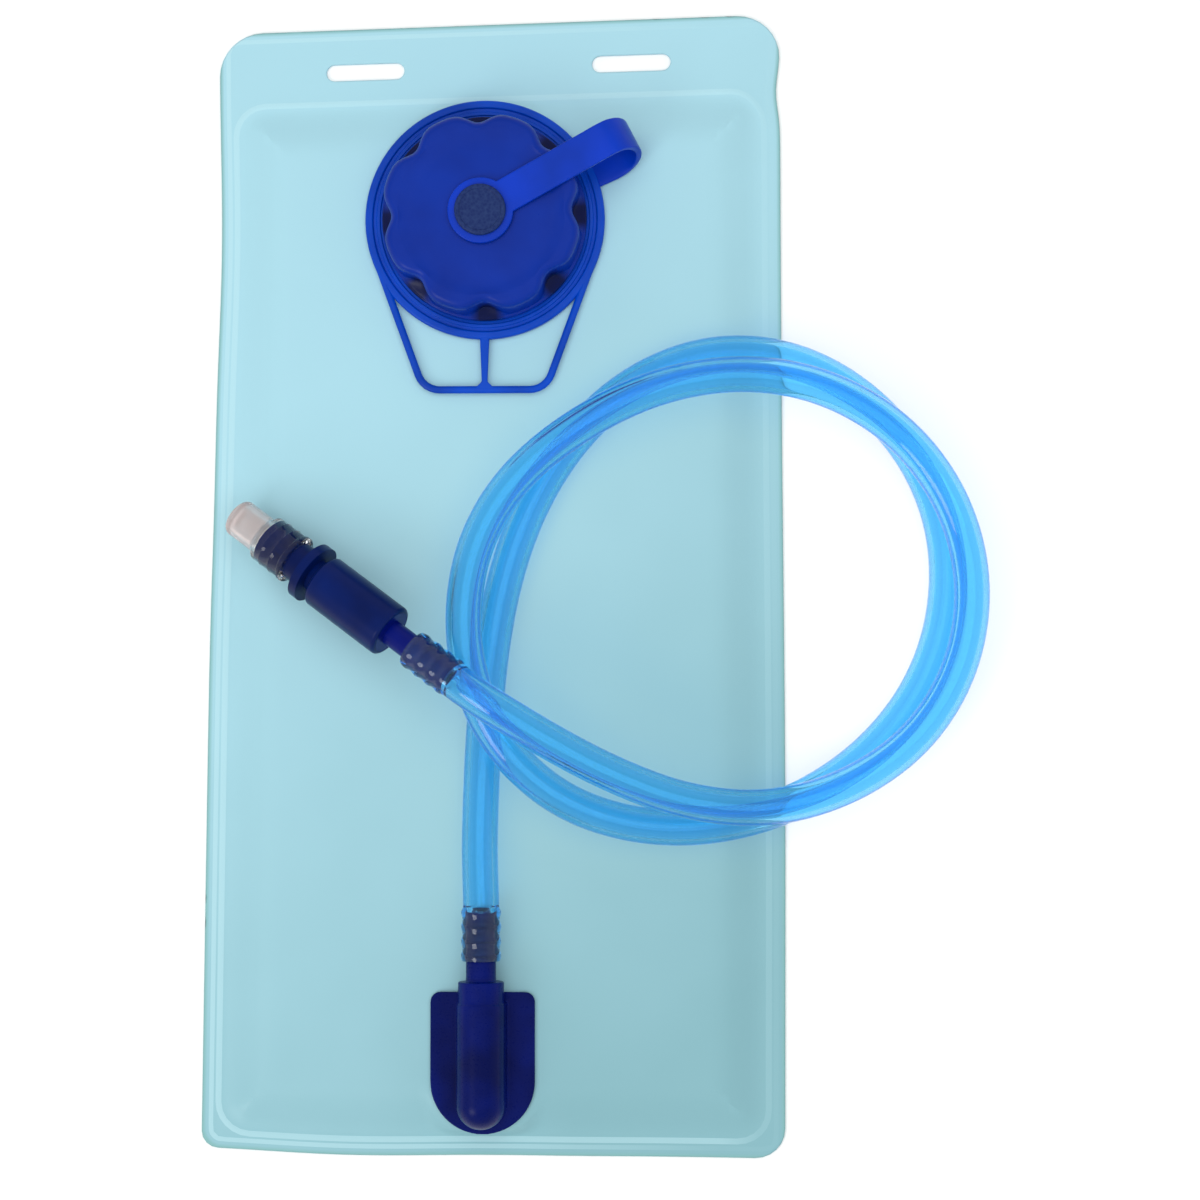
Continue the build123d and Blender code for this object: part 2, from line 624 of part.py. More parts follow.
with BuildPart() as valve_stem:
    with BuildSketch(VALVE):
        Polygon(
            (SPIGOT_START, STEM_BORE_R),
            (SPIGOT_START, SPIGOT_R),
            (SHEATH_END, SPIGOT_R),
            (SHEATH_END, STEM_R),
            (PULL_START, STEM_R),
            (PULL_START, PULL_R),
            (PULL_END, PULL_R),
            (PULL_END, PLUNGER_R),
            (PISTON_START, PLUNGER_R),
            (PISTON_START, PISTON_R),
            (PISTON_END, PISTON_R),
            (PISTON_END, NOSE_R),
            (NOSE_END, NOSE_R),
            (NOSE_END, 0),
            (NOSE_BORE_END, 0),
            (NOSE_BORE_END, NOSE_BORE_R),
            (PISTON_START, NOSE_BORE_R),
            (PISTON_START, STEM_BORE_R),
            align=None,
        )
        with Locations((PISTON_GROOVE, PISTON_R)):
            Rectangle(SEAL_WIDTH, 2 * (PISTON_R - PISTON_GROOVE_R), mode=Mode.SUBTRACT)
        with Locations((NOSE_GROOVE, NOSE_R)):
            Rectangle(SEAL_WIDTH, 2 * (NOSE_R - NOSE_GROOVE_R), mode=Mode.SUBTRACT)
    revolve(axis=VALVE_AXIS)
    with BuildSketch(VALVE.offset(-NOSE_R)):
        with Locations((PORT_AT, 0)):
            Circle(PORT_R)
    extrude(amount=2 * NOSE_R, mode=Mode.SUBTRACT)
valve_stem.part.label = "valve_stem"
export_step(valve_stem.part, "parts/valve_stem.step")


with BuildPart() as stem_seal:
    with BuildSketch(VALVE):
        with Locations((PISTON_GROOVE, PISTON_GROOVE_R + SEAL_SECTION_R)):
            Circle(SEAL_SECTION_R)
    revolve(axis=VALVE_AXIS)
stem_seal.part.label = "stem_seal"
export_step(stem_seal.part, "parts/stem_seal.step")

with BuildPart() as nose_seal:
    with BuildSketch(VALVE):
        with Locations((NOSE_GROOVE, NOSE_GROOVE_R + SEAL_SECTION_R)):
            Circle(SEAL_SECTION_R)
    revolve(axis=VALVE_AXIS)
nose_seal.part.label = "nose_seal"
export_step(nose_seal.part, "parts/nose_seal.step")

with BuildPart() as bite_sheath:
    with BuildSketch(VALVE) as sheath_section:
        Polygon(
            (0, 0),
            (0, TIP_R),
            (TIP_LENGTH, TIP_R),
            (TIP_LENGTH, SHEATH_R),
            (SHEATH_END - SHEATH_CLEAR, SHEATH_R),
            (SHEATH_END - SHEATH_CLEAR, SPIGOT_R + SPIGOT_CLEAR),
            (SPIGOT_START - SHEATH_CLEAR, SPIGOT_R + SPIGOT_CLEAR),
            (SPIGOT_START - SHEATH_CLEAR, TIP_R - TIP_WALL),
            (TIP_WALL, TIP_R - TIP_WALL),
            (TIP_WALL, 0),
            align=None,
        )
        fillet(sheath_section.vertices().sort_by_distance((0, TIP_R, 0))[0], TIP_EDGE_R)
        fillet(sheath_section.vertices().sort_by_distance((TIP_LENGTH, SHEATH_R, 0))[0], TIP_EDGE_R)
    revolve(axis=VALVE_AXIS)
    with BuildSketch(Plane(origin=TIP, x_dir=ACROSS, z_dir=-OUTWARD)):
        Rectangle(SLIT_LENGTH, SLIT_W)
    extrude(amount=TIP_WALL, mode=Mode.SUBTRACT)
bite_sheath.part.label = "bite_sheath"
export_step(bite_sheath.part, "parts/bite_sheath.step")

hose_length = hose_line.wire().length
hose_section = pi * (HOSE_R**2 - HOSE_BORE_R**2)
print(f"hose length {hose_length:.1f}")
print(f"hose volume {hose.part.volume:.0f}, section times length {hose_section * hose_length:.0f}")
print("hose radii", [round(radius) for radius in RADII])
print("hose runs", [round((Vector(b) - Vector(a)).length) for a, b in zip(ROUTE, ROUTE[1:])])
print("bite valve tip", [round(value, 1) for value in TIP])
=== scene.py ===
"""Hydration bladder: its films, hose, strap, cap and bite valve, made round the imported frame.

Metres, +Z up. The bag lies on its back with the hose coiled on it. Sizes in the settings are metres too.
"""

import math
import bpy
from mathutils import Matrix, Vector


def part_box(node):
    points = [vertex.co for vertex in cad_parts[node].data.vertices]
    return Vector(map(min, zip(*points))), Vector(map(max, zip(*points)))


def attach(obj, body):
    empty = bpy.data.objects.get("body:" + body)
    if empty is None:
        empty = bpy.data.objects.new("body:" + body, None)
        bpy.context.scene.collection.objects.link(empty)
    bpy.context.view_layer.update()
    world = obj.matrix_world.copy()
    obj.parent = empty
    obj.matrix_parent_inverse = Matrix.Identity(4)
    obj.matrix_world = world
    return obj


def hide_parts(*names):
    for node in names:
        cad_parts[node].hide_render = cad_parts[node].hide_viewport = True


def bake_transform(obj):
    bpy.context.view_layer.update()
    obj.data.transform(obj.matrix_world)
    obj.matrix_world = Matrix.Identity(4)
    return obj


bl_info = {
    "name": "Hydration bladder",
    "version": (1, 0, 0),
    "blender": (4, 5, 0),
    "location": "View3D > Sidebar > Bladder",
    "description": "Makes the films, hose, strap, cap and bite valve of a drinking bladder",
    "category": "Object",
}

import bmesh
import bpy
import numpy as np
from bpy.props import FloatProperty, FloatVectorProperty, IntProperty, PointerProperty
from mathutils import Matrix, Vector, noise
from mathutils.geometry import delaunay_2d_cdt

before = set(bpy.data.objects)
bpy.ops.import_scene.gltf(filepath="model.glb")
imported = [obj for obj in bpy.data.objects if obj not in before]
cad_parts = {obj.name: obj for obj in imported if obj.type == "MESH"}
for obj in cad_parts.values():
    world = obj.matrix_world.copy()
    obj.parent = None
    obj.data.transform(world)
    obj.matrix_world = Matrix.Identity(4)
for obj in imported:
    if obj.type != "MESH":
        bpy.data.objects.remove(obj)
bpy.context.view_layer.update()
MM = 0.001
MIX, RANGE, NOISE = "ShaderNodeMix", "ShaderNodeMapRange", "ShaderNodeTexNoise"
MATH, PLUS, MINUS, TIMES, OVER, TIMES_PLUS, COSINE, NEAR = (
    f"ShaderNodeMath{operation}" for operation in (
        "", ":ADD", ":SUBTRACT", ":MULTIPLY", ":DIVIDE", ":MULTIPLY_ADD", ":COSINE", ":COMPARE"))


# ---- places read from the frame --------------------------------------------------------------
def middle(node):
    """The middle of a CAD node's box."""
    low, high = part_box(node)
    return (low + high) / 2


FILM_LOW, FILM_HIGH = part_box("front_film")
FILM_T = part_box("back_film")[1].z
PORT = middle("fill_collar")
PORT.z = 0
RING_R = (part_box("handle_ring")[1].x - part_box("handle_ring")[0].x) / 2
CAP_LOW, CAP_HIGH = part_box("cap_shell")
OUTLET_LOW, OUTLET_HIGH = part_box("outlet")
TETHER_LOW, TETHER_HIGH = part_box("tether")

# The hose's own line: from the spout up the bag, twice round to the right, then over both to the left.
HOSE_ROUTE = [
    (-0.0022, -0.1140, 0.0135), (-0.0029, -0.0980, 0.0132), (-0.0027, -0.0720, 0.0122),
    (-0.0017, -0.0460, 0.0117), (0.0003, -0.0210, 0.0117), (0.0048, 0.0035, 0.0117),
    (0.0132, 0.0265, 0.0117), (0.0266, 0.0470, 0.0118), (0.0450, 0.0630, 0.0120),
    (0.0675, 0.0714, 0.0123), (0.0915, 0.0700, 0.0114), (0.1135, 0.0588, 0.0088),
    (0.1305, 0.0400, 0.0066), (0.1396, 0.0170, 0.0059), (0.1398, -0.0085, 0.0058),
    (0.1315, -0.0325, 0.0064), (0.1146, -0.0530, 0.0086), (0.0915, -0.0674, 0.0114),
    (0.0665, -0.0740, 0.0124), (0.0425, -0.0730, 0.0140), (0.0210, -0.0650, 0.0180),
    (0.0044, -0.0495, 0.0226), (-0.0052, -0.0295, 0.0242), (-0.0076, -0.0065, 0.0234),
    (-0.0026, 0.0160, 0.0230), (0.0108, 0.0356, 0.0232), (0.0335, 0.0520, 0.0233),
    (0.0570, 0.0616, 0.0234), (0.0820, 0.0642, 0.0228), (0.1060, 0.0586, 0.0210),
    (0.1270, 0.0450, 0.0189), (0.1416, 0.0245, 0.0169), (0.1476, 0.0000, 0.0150),
    (0.1438, -0.0250, 0.0152), (0.1306, -0.0465, 0.0170), (0.1100, -0.0610, 0.0204),
    (0.0860, -0.0680, 0.0236), (0.0615, -0.0660, 0.0274), (0.0390, -0.0576, 0.0318),
    (0.0180, -0.0464, 0.0354), (-0.0030, -0.0332, 0.0366), (-0.0215, -0.0196, 0.0306),
]
OUTWARD = (Vector(HOSE_ROUTE[-1]) - Vector(HOSE_ROUTE[-2])).normalized()


# ---- small tools -----------------------------------------------------------------------------
def linear(code):
    """The linear colour, with full alpha, of an sRGB code such as "#1a2b3c"."""
    parts = [int(code[start:start + 2], 16) / 255 for start in (1, 3, 5)]
    return (*(p / 12.92 if p <= 0.04045 else ((p + 0.055) / 1.055) ** 2.4 for p in parts), 1.0)


def colour_setting(name, code, description):
    """A colour that the user can change."""
    return FloatVectorProperty(name=name, description=description, subtype="COLOR", size=4,
                               min=0.0, max=1.0, default=linear(code))


def size_setting(name, default, description):
    """A length that the user can change."""
    return FloatProperty(name=name, description=description, default=default, min=0.0,
                         unit="LENGTH", precision=5)


def fill(tree, node, inputs):
    """Sets a node's inputs: each from a value, from a socket or from a node's first output."""
    for key, value in inputs.items():
        value = value.outputs[0] if isinstance(value, bpy.types.Node) else value
        if isinstance(value, bpy.types.NodeSocket):
            tree.links.new(value, node.inputs[key])
        else:
            node.inputs[key].default_value = value
    return node


def add(tree, kind, inputs=None, **settings):
    """A new node with its settings and its inputs, by name or number, or in order as a list."""
    kind, _, operation = kind.partition(":")
    if operation:
        settings["operation"] = operation
    node = tree.nodes.new(kind)
    inputs = dict(enumerate(inputs)) if isinstance(inputs, list) else inputs
    for key, value in settings.items():
        setattr(node, key, value)
    return fill(tree, node, inputs or {})


def new_material(name):
    """An empty material, its tree, its Principled shader and the socket that gives places on the object."""
    material = bpy.data.materials.new(name)
    material.use_nodes = True
    tree = material.node_tree
    return material, tree, tree.nodes["Principled BSDF"], add(tree, "ShaderNodeTexCoord").outputs["Object"]


def per(size_mm):
    """The texture scale at which one feature is that many millimetres."""
    return 1 / (size_mm * MM)


def new_object(name, mesh, material=None):
    """A mesh in the scene under that name."""
    made = bpy.data.objects.new(name, mesh)
    bpy.context.scene.collection.objects.link(made)
    if material is not None:
        made.data.materials.clear()
        made.data.materials.append(material)
    return made


def mesh_from(name, points, faces):
    """A smooth mesh from points and faces."""
    mesh = bpy.data.meshes.new(name)
    mesh.from_pydata([tuple(p) for p in points], [], [tuple(f) for f in faces])
    mesh.update()
    mesh.shade_smooth()
    return mesh


def line_from(name, points):
    """A mesh of edges from point to point."""
    mesh = bpy.data.meshes.new(name)
    mesh.from_pydata([tuple(p) for p in points], [(k, k + 1) for k in range(len(points) - 1)], [])
    return mesh


def settle(made):
    """Puts what an object's modifiers make into its own mesh."""
    bpy.context.view_layer.update()
    evaluated = made.evaluated_get(bpy.context.evaluated_depsgraph_get())
    plain = bpy.data.meshes.new_from_object(evaluated)
    made.modifiers.clear()
    plain.name = made.name
    made.data = plain
    return made


def modify(made, name, kind, **settings):
    """Gives an object a modifier with its settings."""
    modifier = made.modifiers.new(name, kind)
    for key, value in settings.items():
        setattr(modifier, key, value)
    return modifier


SOCKETS = {int: "NodeSocketInt", float: "NodeSocketFloat", type(None): "NodeSocketMaterial"}


def node_tree(name, inputs):
    """A Geometry Nodes tree with a geometry going in and out, and named inputs with their defaults."""
    tree = bpy.data.node_groups.new(name, "GeometryNodeTree")
    tree.interface.new_socket("Geometry", in_out="INPUT", socket_type="NodeSocketGeometry")
    for label, default in inputs.items():
        socket = tree.interface.new_socket(label, in_out="INPUT", socket_type=SOCKETS[type(default)])
        if default is not None:
            socket.default_value = default
    tree.interface.new_socket("Geometry", in_out="OUTPUT", socket_type="NodeSocketGeometry")
    return tree


def use_tree(made, tree, values):
    """Gives an object a Geometry Nodes modifier with its inputs set by their identifiers."""
    modifier = modify(made, tree.name, "NODES", node_group=tree)
    for item in tree.interface.items_tree:
        if item.in_out == "INPUT" and item.name in values:
            modifier[item.identifier] = values[item.name]


def dress(node, material):
    """Gives a CAD node its finish."""
    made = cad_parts[node]
    made.data.materials.clear()
    made.data.materials.append(material)
    return made


# ---- the stage -------------------------------------------------------------------------------
class StageSettings(bpy.types.PropertyGroup):
    floor_colour: colour_setting("Floor", "#fbfbfb", "Pale studio floor")
    key_power: FloatProperty(name="Key light", description="Soft light from the lower left",
                             default=3.5, min=0.0, unit="POWER")
    soft_power: FloatProperty(name="Soft box", description="Wide soft light from above, not mirrored",
                              default=14.5, min=0.0, unit="POWER")
    sky: FloatProperty(name="Room light", description="Light from all round", default=0.62, min=0.0)
    overhead: FloatProperty(name="Overhead", description="Share of the room light straight above the bag",
                            default=0.45, min=0.0, max=1.0)


CAMERA_PLACE = Vector((0.070, -0.038, 0.925))
CAMERA_AIM = Vector((0.0334, -0.004, 0.0))
FLOOR_HALF = 12.0    # so wide that its edges stay out of view


def floor_material(colour):
    """Matt painted board: an even pale white with a faint mottling and no shine."""
    material, tree, shader, place = new_material("painted board")
    mottle = add(tree, NOISE, {"Vector": place, "Scale": per(60), "Detail": 3.0})
    shades = add(tree, MIX, {0: mottle, 6: colour, 7: linear("#f8f9f9")}, data_type="RGBA")
    fill(tree, shader, {"Base Color": shades.outputs[2], "Roughness": 0.9, "Specular IOR Level": 0.1})
    return material


class BLADDER_OT_stage(bpy.types.Operator):
    """Makes the floor, the lights and the camera"""
    bl_idname = "bladder.stage"
    bl_label = "Stage"

    def execute(self, context):
        settings = context.scene.bladder_stage
        corners = [(x * FLOOR_HALF, y * FLOOR_HALF, -0.1 * MM)
                   for x, y in ((-1, -1), (1, -1), (1, 1), (-1, 1))]
        floor = new_object("floor", mesh_from("floor", corners, [range(4)]),
                           floor_material(tuple(settings.floor_colour)))

        world = bpy.data.worlds.new("studio")
        context.scene.world = world
        world.use_nodes = True
        room = world.node_tree
        towards = add(room, "ShaderNodeTexCoord")
        height = add(room, "ShaderNodeSeparateXYZ", [towards.outputs["Generated"]])
        share = add(room, RANGE, {
            0: height.outputs["Z"], 1: 0.45, 2: 1.0, 3: settings.sky, 4: settings.sky * settings.overhead,
        }, interpolation_type="SMOOTHSTEP")
        fill(room, room.nodes["Background"], {"Color": linear("#ffffff"), "Strength": share})

        for name, place, size, power, mirrored in (
            ("key", (-0.75, -0.70, 0.95), 0.6, settings.key_power, True),
            ("soft box", (0.03, 0.0, 1.3), 1.8, settings.soft_power, False),
        ):
            lamp = bpy.data.lights.new(name, "AREA")
            lamp.shape = "DISK"
            lamp.size = size
            lamp.energy = power
            light = bpy.data.objects.new(name, lamp)
            context.scene.collection.objects.link(light)
            light.location = place
            light.visible_glossy = mirrored
            light.rotation_euler = (-Vector(place)).to_track_quat("-Z", "Y").to_euler()

        camera_data = bpy.data.cameras.new("camera")
        camera_data.sensor_width = 36.0
        camera_data.lens = 90.0
        camera_data.clip_start = 0.01
        camera = bpy.data.objects.new("camera", camera_data)
        context.scene.collection.objects.link(camera)
        back = (CAMERA_PLACE - CAMERA_AIM).normalized()
        right = Vector((0, 1, 0)).cross(back).normalized()
        turned = Matrix((right, back.cross(right), back)).transposed()
        camera.matrix_world = Matrix.Translation(CAMERA_PLACE) @ turned.to_4x4()
        context.scene.camera = camera
        context.scene.view_settings.view_transform = "Standard"
        return {"FINISHED"}


# ---- the hose --------------------------------------------------------------------------------
HOSE_SIZES = ("radius", "bore", "grip", "swell", "barb", "foot", "pitch", "sides")
END_STEP = 0.03 * MM    # from the hose's end face to where its wall is full
TOUCHING = 0.002 * MM    # points closer than this are one point
FINE_RUN, FINE_PARTS = 22 * MM, 5    # near its ends each step of the hose's line is divided
ON_BARB, FREE = 15 * MM, 38 * MM    # it lies along the barb up to the first and runs free from the second


class HoseSettings(bpy.types.PropertyGroup):
    radius: size_setting("Radius", 0.0055, "Outside radius of the hose")
    bore: size_setting("Bore", 0.0036, "Radius of the hose's bore")
    grip: size_setting("Grip", 0.0031, "Radius of the bore where it grips a barb")
    swell: size_setting("Swell", 0.0006, "How much the hose widens over a barb's ridges")
    barb: size_setting("Barb length", 0.0147, "How far a barb reaches into the hose")
    foot: size_setting("Barb foot", 0.0015, "Hose's end to the first ridge")
    pitch: size_setting("Barb pitch", 0.0044, "From ridge to ridge")
    sides: IntProperty(name="Sides", description="Flats round the hose", default=36, min=8, max=64)
    tint: colour_setting("Tint", "#b0eeff", "Colour of the clear wall's faces")
    depth: colour_setting("Depth", "#10d6ff", "Colour that the wall takes on with depth")


def hose_material(tint, depth):
    """Clear flexible PVC, extruded: wet-looking and see-through, tinted blue, darker where seen edge on."""
    material, tree, shader, place = new_material("clear blue PVC")
    ripple = add(tree, NOISE, {"Vector": place, "Scale": per(14), "Detail": 2.0})
    bump = add(tree, "ShaderNodeBump", {"Height": ripple, "Strength": 0.1, "Distance": 0.2 * MM})
    haze = add(tree, RANGE, {0: ripple, 3: 0.0, 4: 0.03})
    fill(tree, shader, {
        "Base Color": tint, "Roughness": haze, "IOR": 1.5, "Transmission Weight": 0.98, "Normal": bump,
    })
    through = add(tree, "ShaderNodeBsdfTransparent", {"Color": linear("#eef7fd")})
    rays = add(tree, "ShaderNodeLightPath")
    both = add(tree, "ShaderNodeMixShader", {0: rays.outputs["Is Shadow Ray"], 1: shader, 2: through})
    blue = add(tree, "ShaderNodeVolumeAbsorption", {"Color": depth, "Density": 165.0})
    fill(tree, tree.nodes["Material Output"], {"Surface": both, "Volume": blue})
    return material


def crisp_tail(tree, mesh, ins, angle=0.6):
    """Smooth faces with crisp corners, then one real mesh with its material, out of the tree."""
    smooth = add(tree, "GeometryNodeSetShadeSmooth", {"Geometry": mesh})
    bend = add(tree, "GeometryNodeInputMeshEdgeAngle")
    corner = add(tree, MATH, [bend.outputs["Unsigned Angle"], angle], operation="GREATER_THAN")
    crisp = add(tree, "GeometryNodeSetShadeSmooth", {
        "Geometry": smooth, "Selection": corner, "Shade Smooth": False,
    }, domain="EDGE")
    real = add(tree, "GeometryNodeRealizeInstances", {"Geometry": crisp})
    painted = add(tree, "GeometryNodeSetMaterial", {"Geometry": real, "Material": ins["Material"]})
    add(tree, "NodeGroupOutput", {"Geometry": painted})


def hose_tree(sizes):
    """Sweeps the hose's outer and inner faces along a line; over the barbs it swells and grips."""
    tree = node_tree("hose wall", {**sizes, "Material": None})
    ins = add(tree, "NodeGroupInput").outputs
    line = add(tree, "GeometryNodeMeshToCurve", {"Mesh": ins["Geometry"]})
    ring = add(tree, "GeometryNodeCurvePrimitiveCircle", {
        "Resolution": ins["Sides"], "Radius": ins["Radius"],
    })
    along = add(tree, "GeometryNodeSplineParameter").outputs["Length"]
    total = add(tree, "GeometryNodeSplineLength").outputs["Length"]
    left = add(tree, MINUS, [total, along])
    nearest = add(tree, MATH, [along, left], operation="MINIMUM")
    past = add(tree, TIMES, [ins["Barb"], 1.15])
    on_barb = add(tree, RANGE, {0: nearest, 1: ins["Barb"], 2: past, 3: 1.0, 4: 0.0},
                  interpolation_type="SMOOTHSTEP")
    from_foot = add(tree, MINUS, [nearest, ins["Foot"]])
    ridges = add(tree, OVER, [from_foot, ins["Pitch"]])
    phase = add(tree, TIMES, [ridges, 2 * math.pi])
    wave = add(tree, COSINE, [phase])
    ridge = add(tree, TIMES_PLUS, [wave, 0.4, 0.6])
    share = add(tree, TIMES, [ridge, on_barb])
    widened = add(tree, TIMES, [share, ins["Swell"]])
    outer = add(tree, PLUS, [widened, ins["Radius"]])
    inner = add(tree, MIX, {0: on_barb, 2: ins["Bore"], 3: ins["Grip"]})
    across = add(tree, PLUS, [ins["Radius"], ins["Bore"]])
    middle_r = add(tree, TIMES, [across, 0.5])
    at_end = add(tree, MATH, [nearest, END_STEP / 3], operation="LESS_THAN")
    walls = []
    for face in (outer, inner):
        radius = add(tree, MIX, {0: at_end, 2: face, 3: middle_r})
        scale = add(tree, OVER, [radius, ins["Radius"]])
        walls.append(add(tree, "GeometryNodeCurveToMesh", {
            "Curve": line, "Profile Curve": ring, "Scale": scale,
        }))
    both = add(tree, "GeometryNodeJoinGeometry")
    for wall in (walls[0], add(tree, "GeometryNodeFlipFaces", {"Mesh": walls[1]})):
        fill(tree, both, {0: wall})
    crisp_tail(tree, add(tree, "GeometryNodeMergeByDistance", {"Geometry": both, "Distance": TOUCHING}), ins)
    return tree


def route_points():
    """Points along the smooth line that the hose lies on, straight and close together over the barbs."""
    curve = bpy.data.curves.new("hose line", "CURVE")
    curve.dimensions = "3D"
    curve.resolution_u = 10
    spline = curve.splines.new("NURBS")
    spline.points.add(len(HOSE_ROUTE) - 1)
    for point, place in zip(spline.points, HOSE_ROUTE):
        point.co = (*place, 1.0)
    spline.order_u = 3
    spline.use_endpoint_u = True
    holder = bpy.data.objects.new("hose line", curve)
    bpy.context.scene.collection.objects.link(holder)
    line = bpy.data.meshes.new_from_object(holder)
    points = [v.co.copy() for v in line.vertices]
    bpy.data.objects.remove(holder)
    for direction in (-OUTWARD, Vector((0, 1, 0))):
        points = straighten(points[::-1], direction)
    return points


def straighten(points, direction):
    """The line with its start laid along a barb and its first stretch in short steps."""
    start = points[0]
    fine, run = [start, start + direction * END_STEP], 0.0
    for before, after in zip(points, points[1:]):
        step = (after - before).length
        parts = FINE_PARTS if run < FINE_RUN else 1
        for k in range(1, parts + 1):
            reach = run + step * k / parts
            held = 1 - ease(reach, ON_BARB, FREE)
            spot = before.lerp(after, k / parts)
            fine.append(spot.lerp(start + direction * reach, held))
        run += step
    return fine


class BLADDER_OT_hose(bpy.types.Operator):
    """Makes the drinking hose along its route"""
    bl_idname = "bladder.hose"
    bl_label = "Hose"

    def execute(self, context):
        settings = context.scene.bladder_hose
        hose = new_object("drinking_hose", line_from("drinking_hose", route_points()))
        sizes = {name.capitalize(): getattr(settings, name) for name in HOSE_SIZES}
        material = hose_material(tuple(settings.tint), tuple(settings.depth))
        use_tree(hose, hose_tree(sizes), {**sizes, "Material": material})
        settle(hose)
        hose.visible_diffuse = False
        belongs(hose, "bladder", "hose_blue", "hose")
        return {"FINISHED"}


# ---- turned and rounded pieces ---------------------------------------------------------------
def softened(corners, closed=True):
    """Points through corners given as (x, y, rounding), with an arc at each rounded one."""
    points = []
    for k, (x, y, soft) in enumerate(corners):
        if soft == 0:
            points.append((x, y))
            continue
        here = Vector((x, y))
        back = (Vector(corners[k - 1][:2]) - here).normalized()
        on = (Vector(corners[(k + 1) % len(corners)][:2]) - here).normalized()
        half = back.angle(on) / 2
        centre = here + (back + on).normalized() * soft / math.sin(half)
        first = here + back * soft / math.tan(half) - centre
        last = here + on * soft / math.tan(half) - centre
        points += [tuple(centre + first.lerp(last, t / 6).normalized() * soft) for t in range(7)]
    return points + points[:1] if closed else points


def turned_tree():
    """Turns a profile, a line of (radius, 0, height) points, round +Z, and cuts scallops into its side; it stores
    as the recess attribute how much painted shade the scallop walls take below the brow.
    """
    tree = node_tree("turned profile", {
        "Around": 128, "Scallops": 0, "Depth": 0.0, "First": 0.0, "Fade Radius": 0.0, "Full Radius": 0.001,
        "Foot": 0.0, "Brow": 0.0, "Material": None,
    })
    ins = add(tree, "NodeGroupInput").outputs
    rows = add(tree, "GeometryNodeAttributeDomainSize", {"Geometry": ins["Geometry"]}, component="MESH")
    columns = add(tree, PLUS, [ins["Around"], 1.0])
    grid = add(tree, "GeometryNodeMeshGrid", {
        "Vertices X": rows.outputs["Point Count"], "Vertices Y": columns,
    })
    index = add(tree, "GeometryNodeInputIndex")
    rows_past = add(tree, OVER, [index, columns])
    row = add(tree, MATH, [rows_past], operation="FLOOR")
    row_start = add(tree, TIMES, [row, columns])
    column = add(tree, MINUS, [index, row_start])
    turns = add(tree, OVER, [column, ins["Around"]])
    turn = add(tree, TIMES, [turns, 2 * math.pi])
    profile = add(tree, "GeometryNodeSampleIndex", {
        "Geometry": ins["Geometry"], "Value": add(tree, "GeometryNodeInputPosition"), "Index": row,
    }, data_type="FLOAT_VECTOR")
    spot = add(tree, "ShaderNodeSeparateXYZ", [profile]).outputs

    from_first = add(tree, MINUS, [turn, ins["First"]])
    phase = add(tree, TIMES, [from_first, ins["Scallops"]])
    swing = add(tree, COSINE, [phase])
    wave = add(tree, TIMES_PLUS, [swing, 0.5, 0.5])
    hollow = add(tree, MATH, [wave, 2.4], operation="POWER")
    by_radius = add(tree, RANGE, [spot["X"], ins["Fade Radius"], ins["Full Radius"]],
                    interpolation_type="SMOOTHSTEP")
    share = add(tree, TIMES, [hollow, by_radius])
    recess = add(tree, TIMES, [share, ins["Depth"]])
    above = add(tree, MINUS, [spot["Z"], ins["Foot"]])
    by_height = add(tree, RANGE, [above, 0.0, 1.2 * MM], interpolation_type="SMOOTHSTEP")
    cut = add(tree, TIMES, [recess, by_height])
    radius = add(tree, MINUS, [spot["X"], cut])
    level = [add(tree, TIMES, [radius, add(tree, MATH, [turn], operation=part)])
             for part in ("COSINE", "SINE")]
    place = add(tree, "ShaderNodeCombineXYZ", [*level, spot["Z"]])
    bent = add(tree, "GeometryNodeSetPosition", {"Geometry": grid, "Position": place})

    # Painted shade: the scallop's cut, faded in from the brow downwards, is stored for the material to paint the
    # scallop walls dark.
    under = add(tree, MINUS, [ins["Brow"], spot["Z"]])
    by_drop = add(tree, RANGE, [under, 0.0, 4 * MM], interpolation_type="SMOOTHSTEP")
    painted_shade = add(tree, TIMES, [recess, by_drop])
    kept = add(tree, "GeometryNodeStoreNamedAttribute", {
        "Geometry": bent, "Name": "recess", "Value": painted_shade,
    }, data_type="FLOAT", domain="POINT")
    crisp_tail(tree, add(tree, "GeometryNodeMergeByDistance", {"Geometry": kept, "Distance": TOUCHING}), ins)
    return tree


def paint(made, *materials):
    """Gives an object those materials, the first of them on every face."""
    made.data.materials.clear()
    for material in materials:
        made.data.materials.append(material)
    made.data.polygons.foreach_set("material_index", [0] * len(made.data.polygons))
    return made


def outward(made):
    """Turns an object's faces outwards."""
    work = bmesh.new()
    work.from_mesh(made.data)
    bmesh.ops.recalc_face_normals(work, faces=work.faces)
    work.to_mesh(made.data)
    work.free()
    return made


def turned(name, corners, material, where, around=128, **scallops):
    """A closed turned piece from corners (radius, height, rounding) in millimetres, put in its place."""
    profile = mesh_from(name, [(x * MM, 0, z * MM) for x, z in softened(corners)], [])
    made = new_object(name, profile)
    tree = bpy.data.node_groups.get("turned profile") or turned_tree()
    use_tree(made, tree, {"Around": around, "Material": material, **scallops})
    paint(settle(made), material).data.transform(where)
    return outward(made)


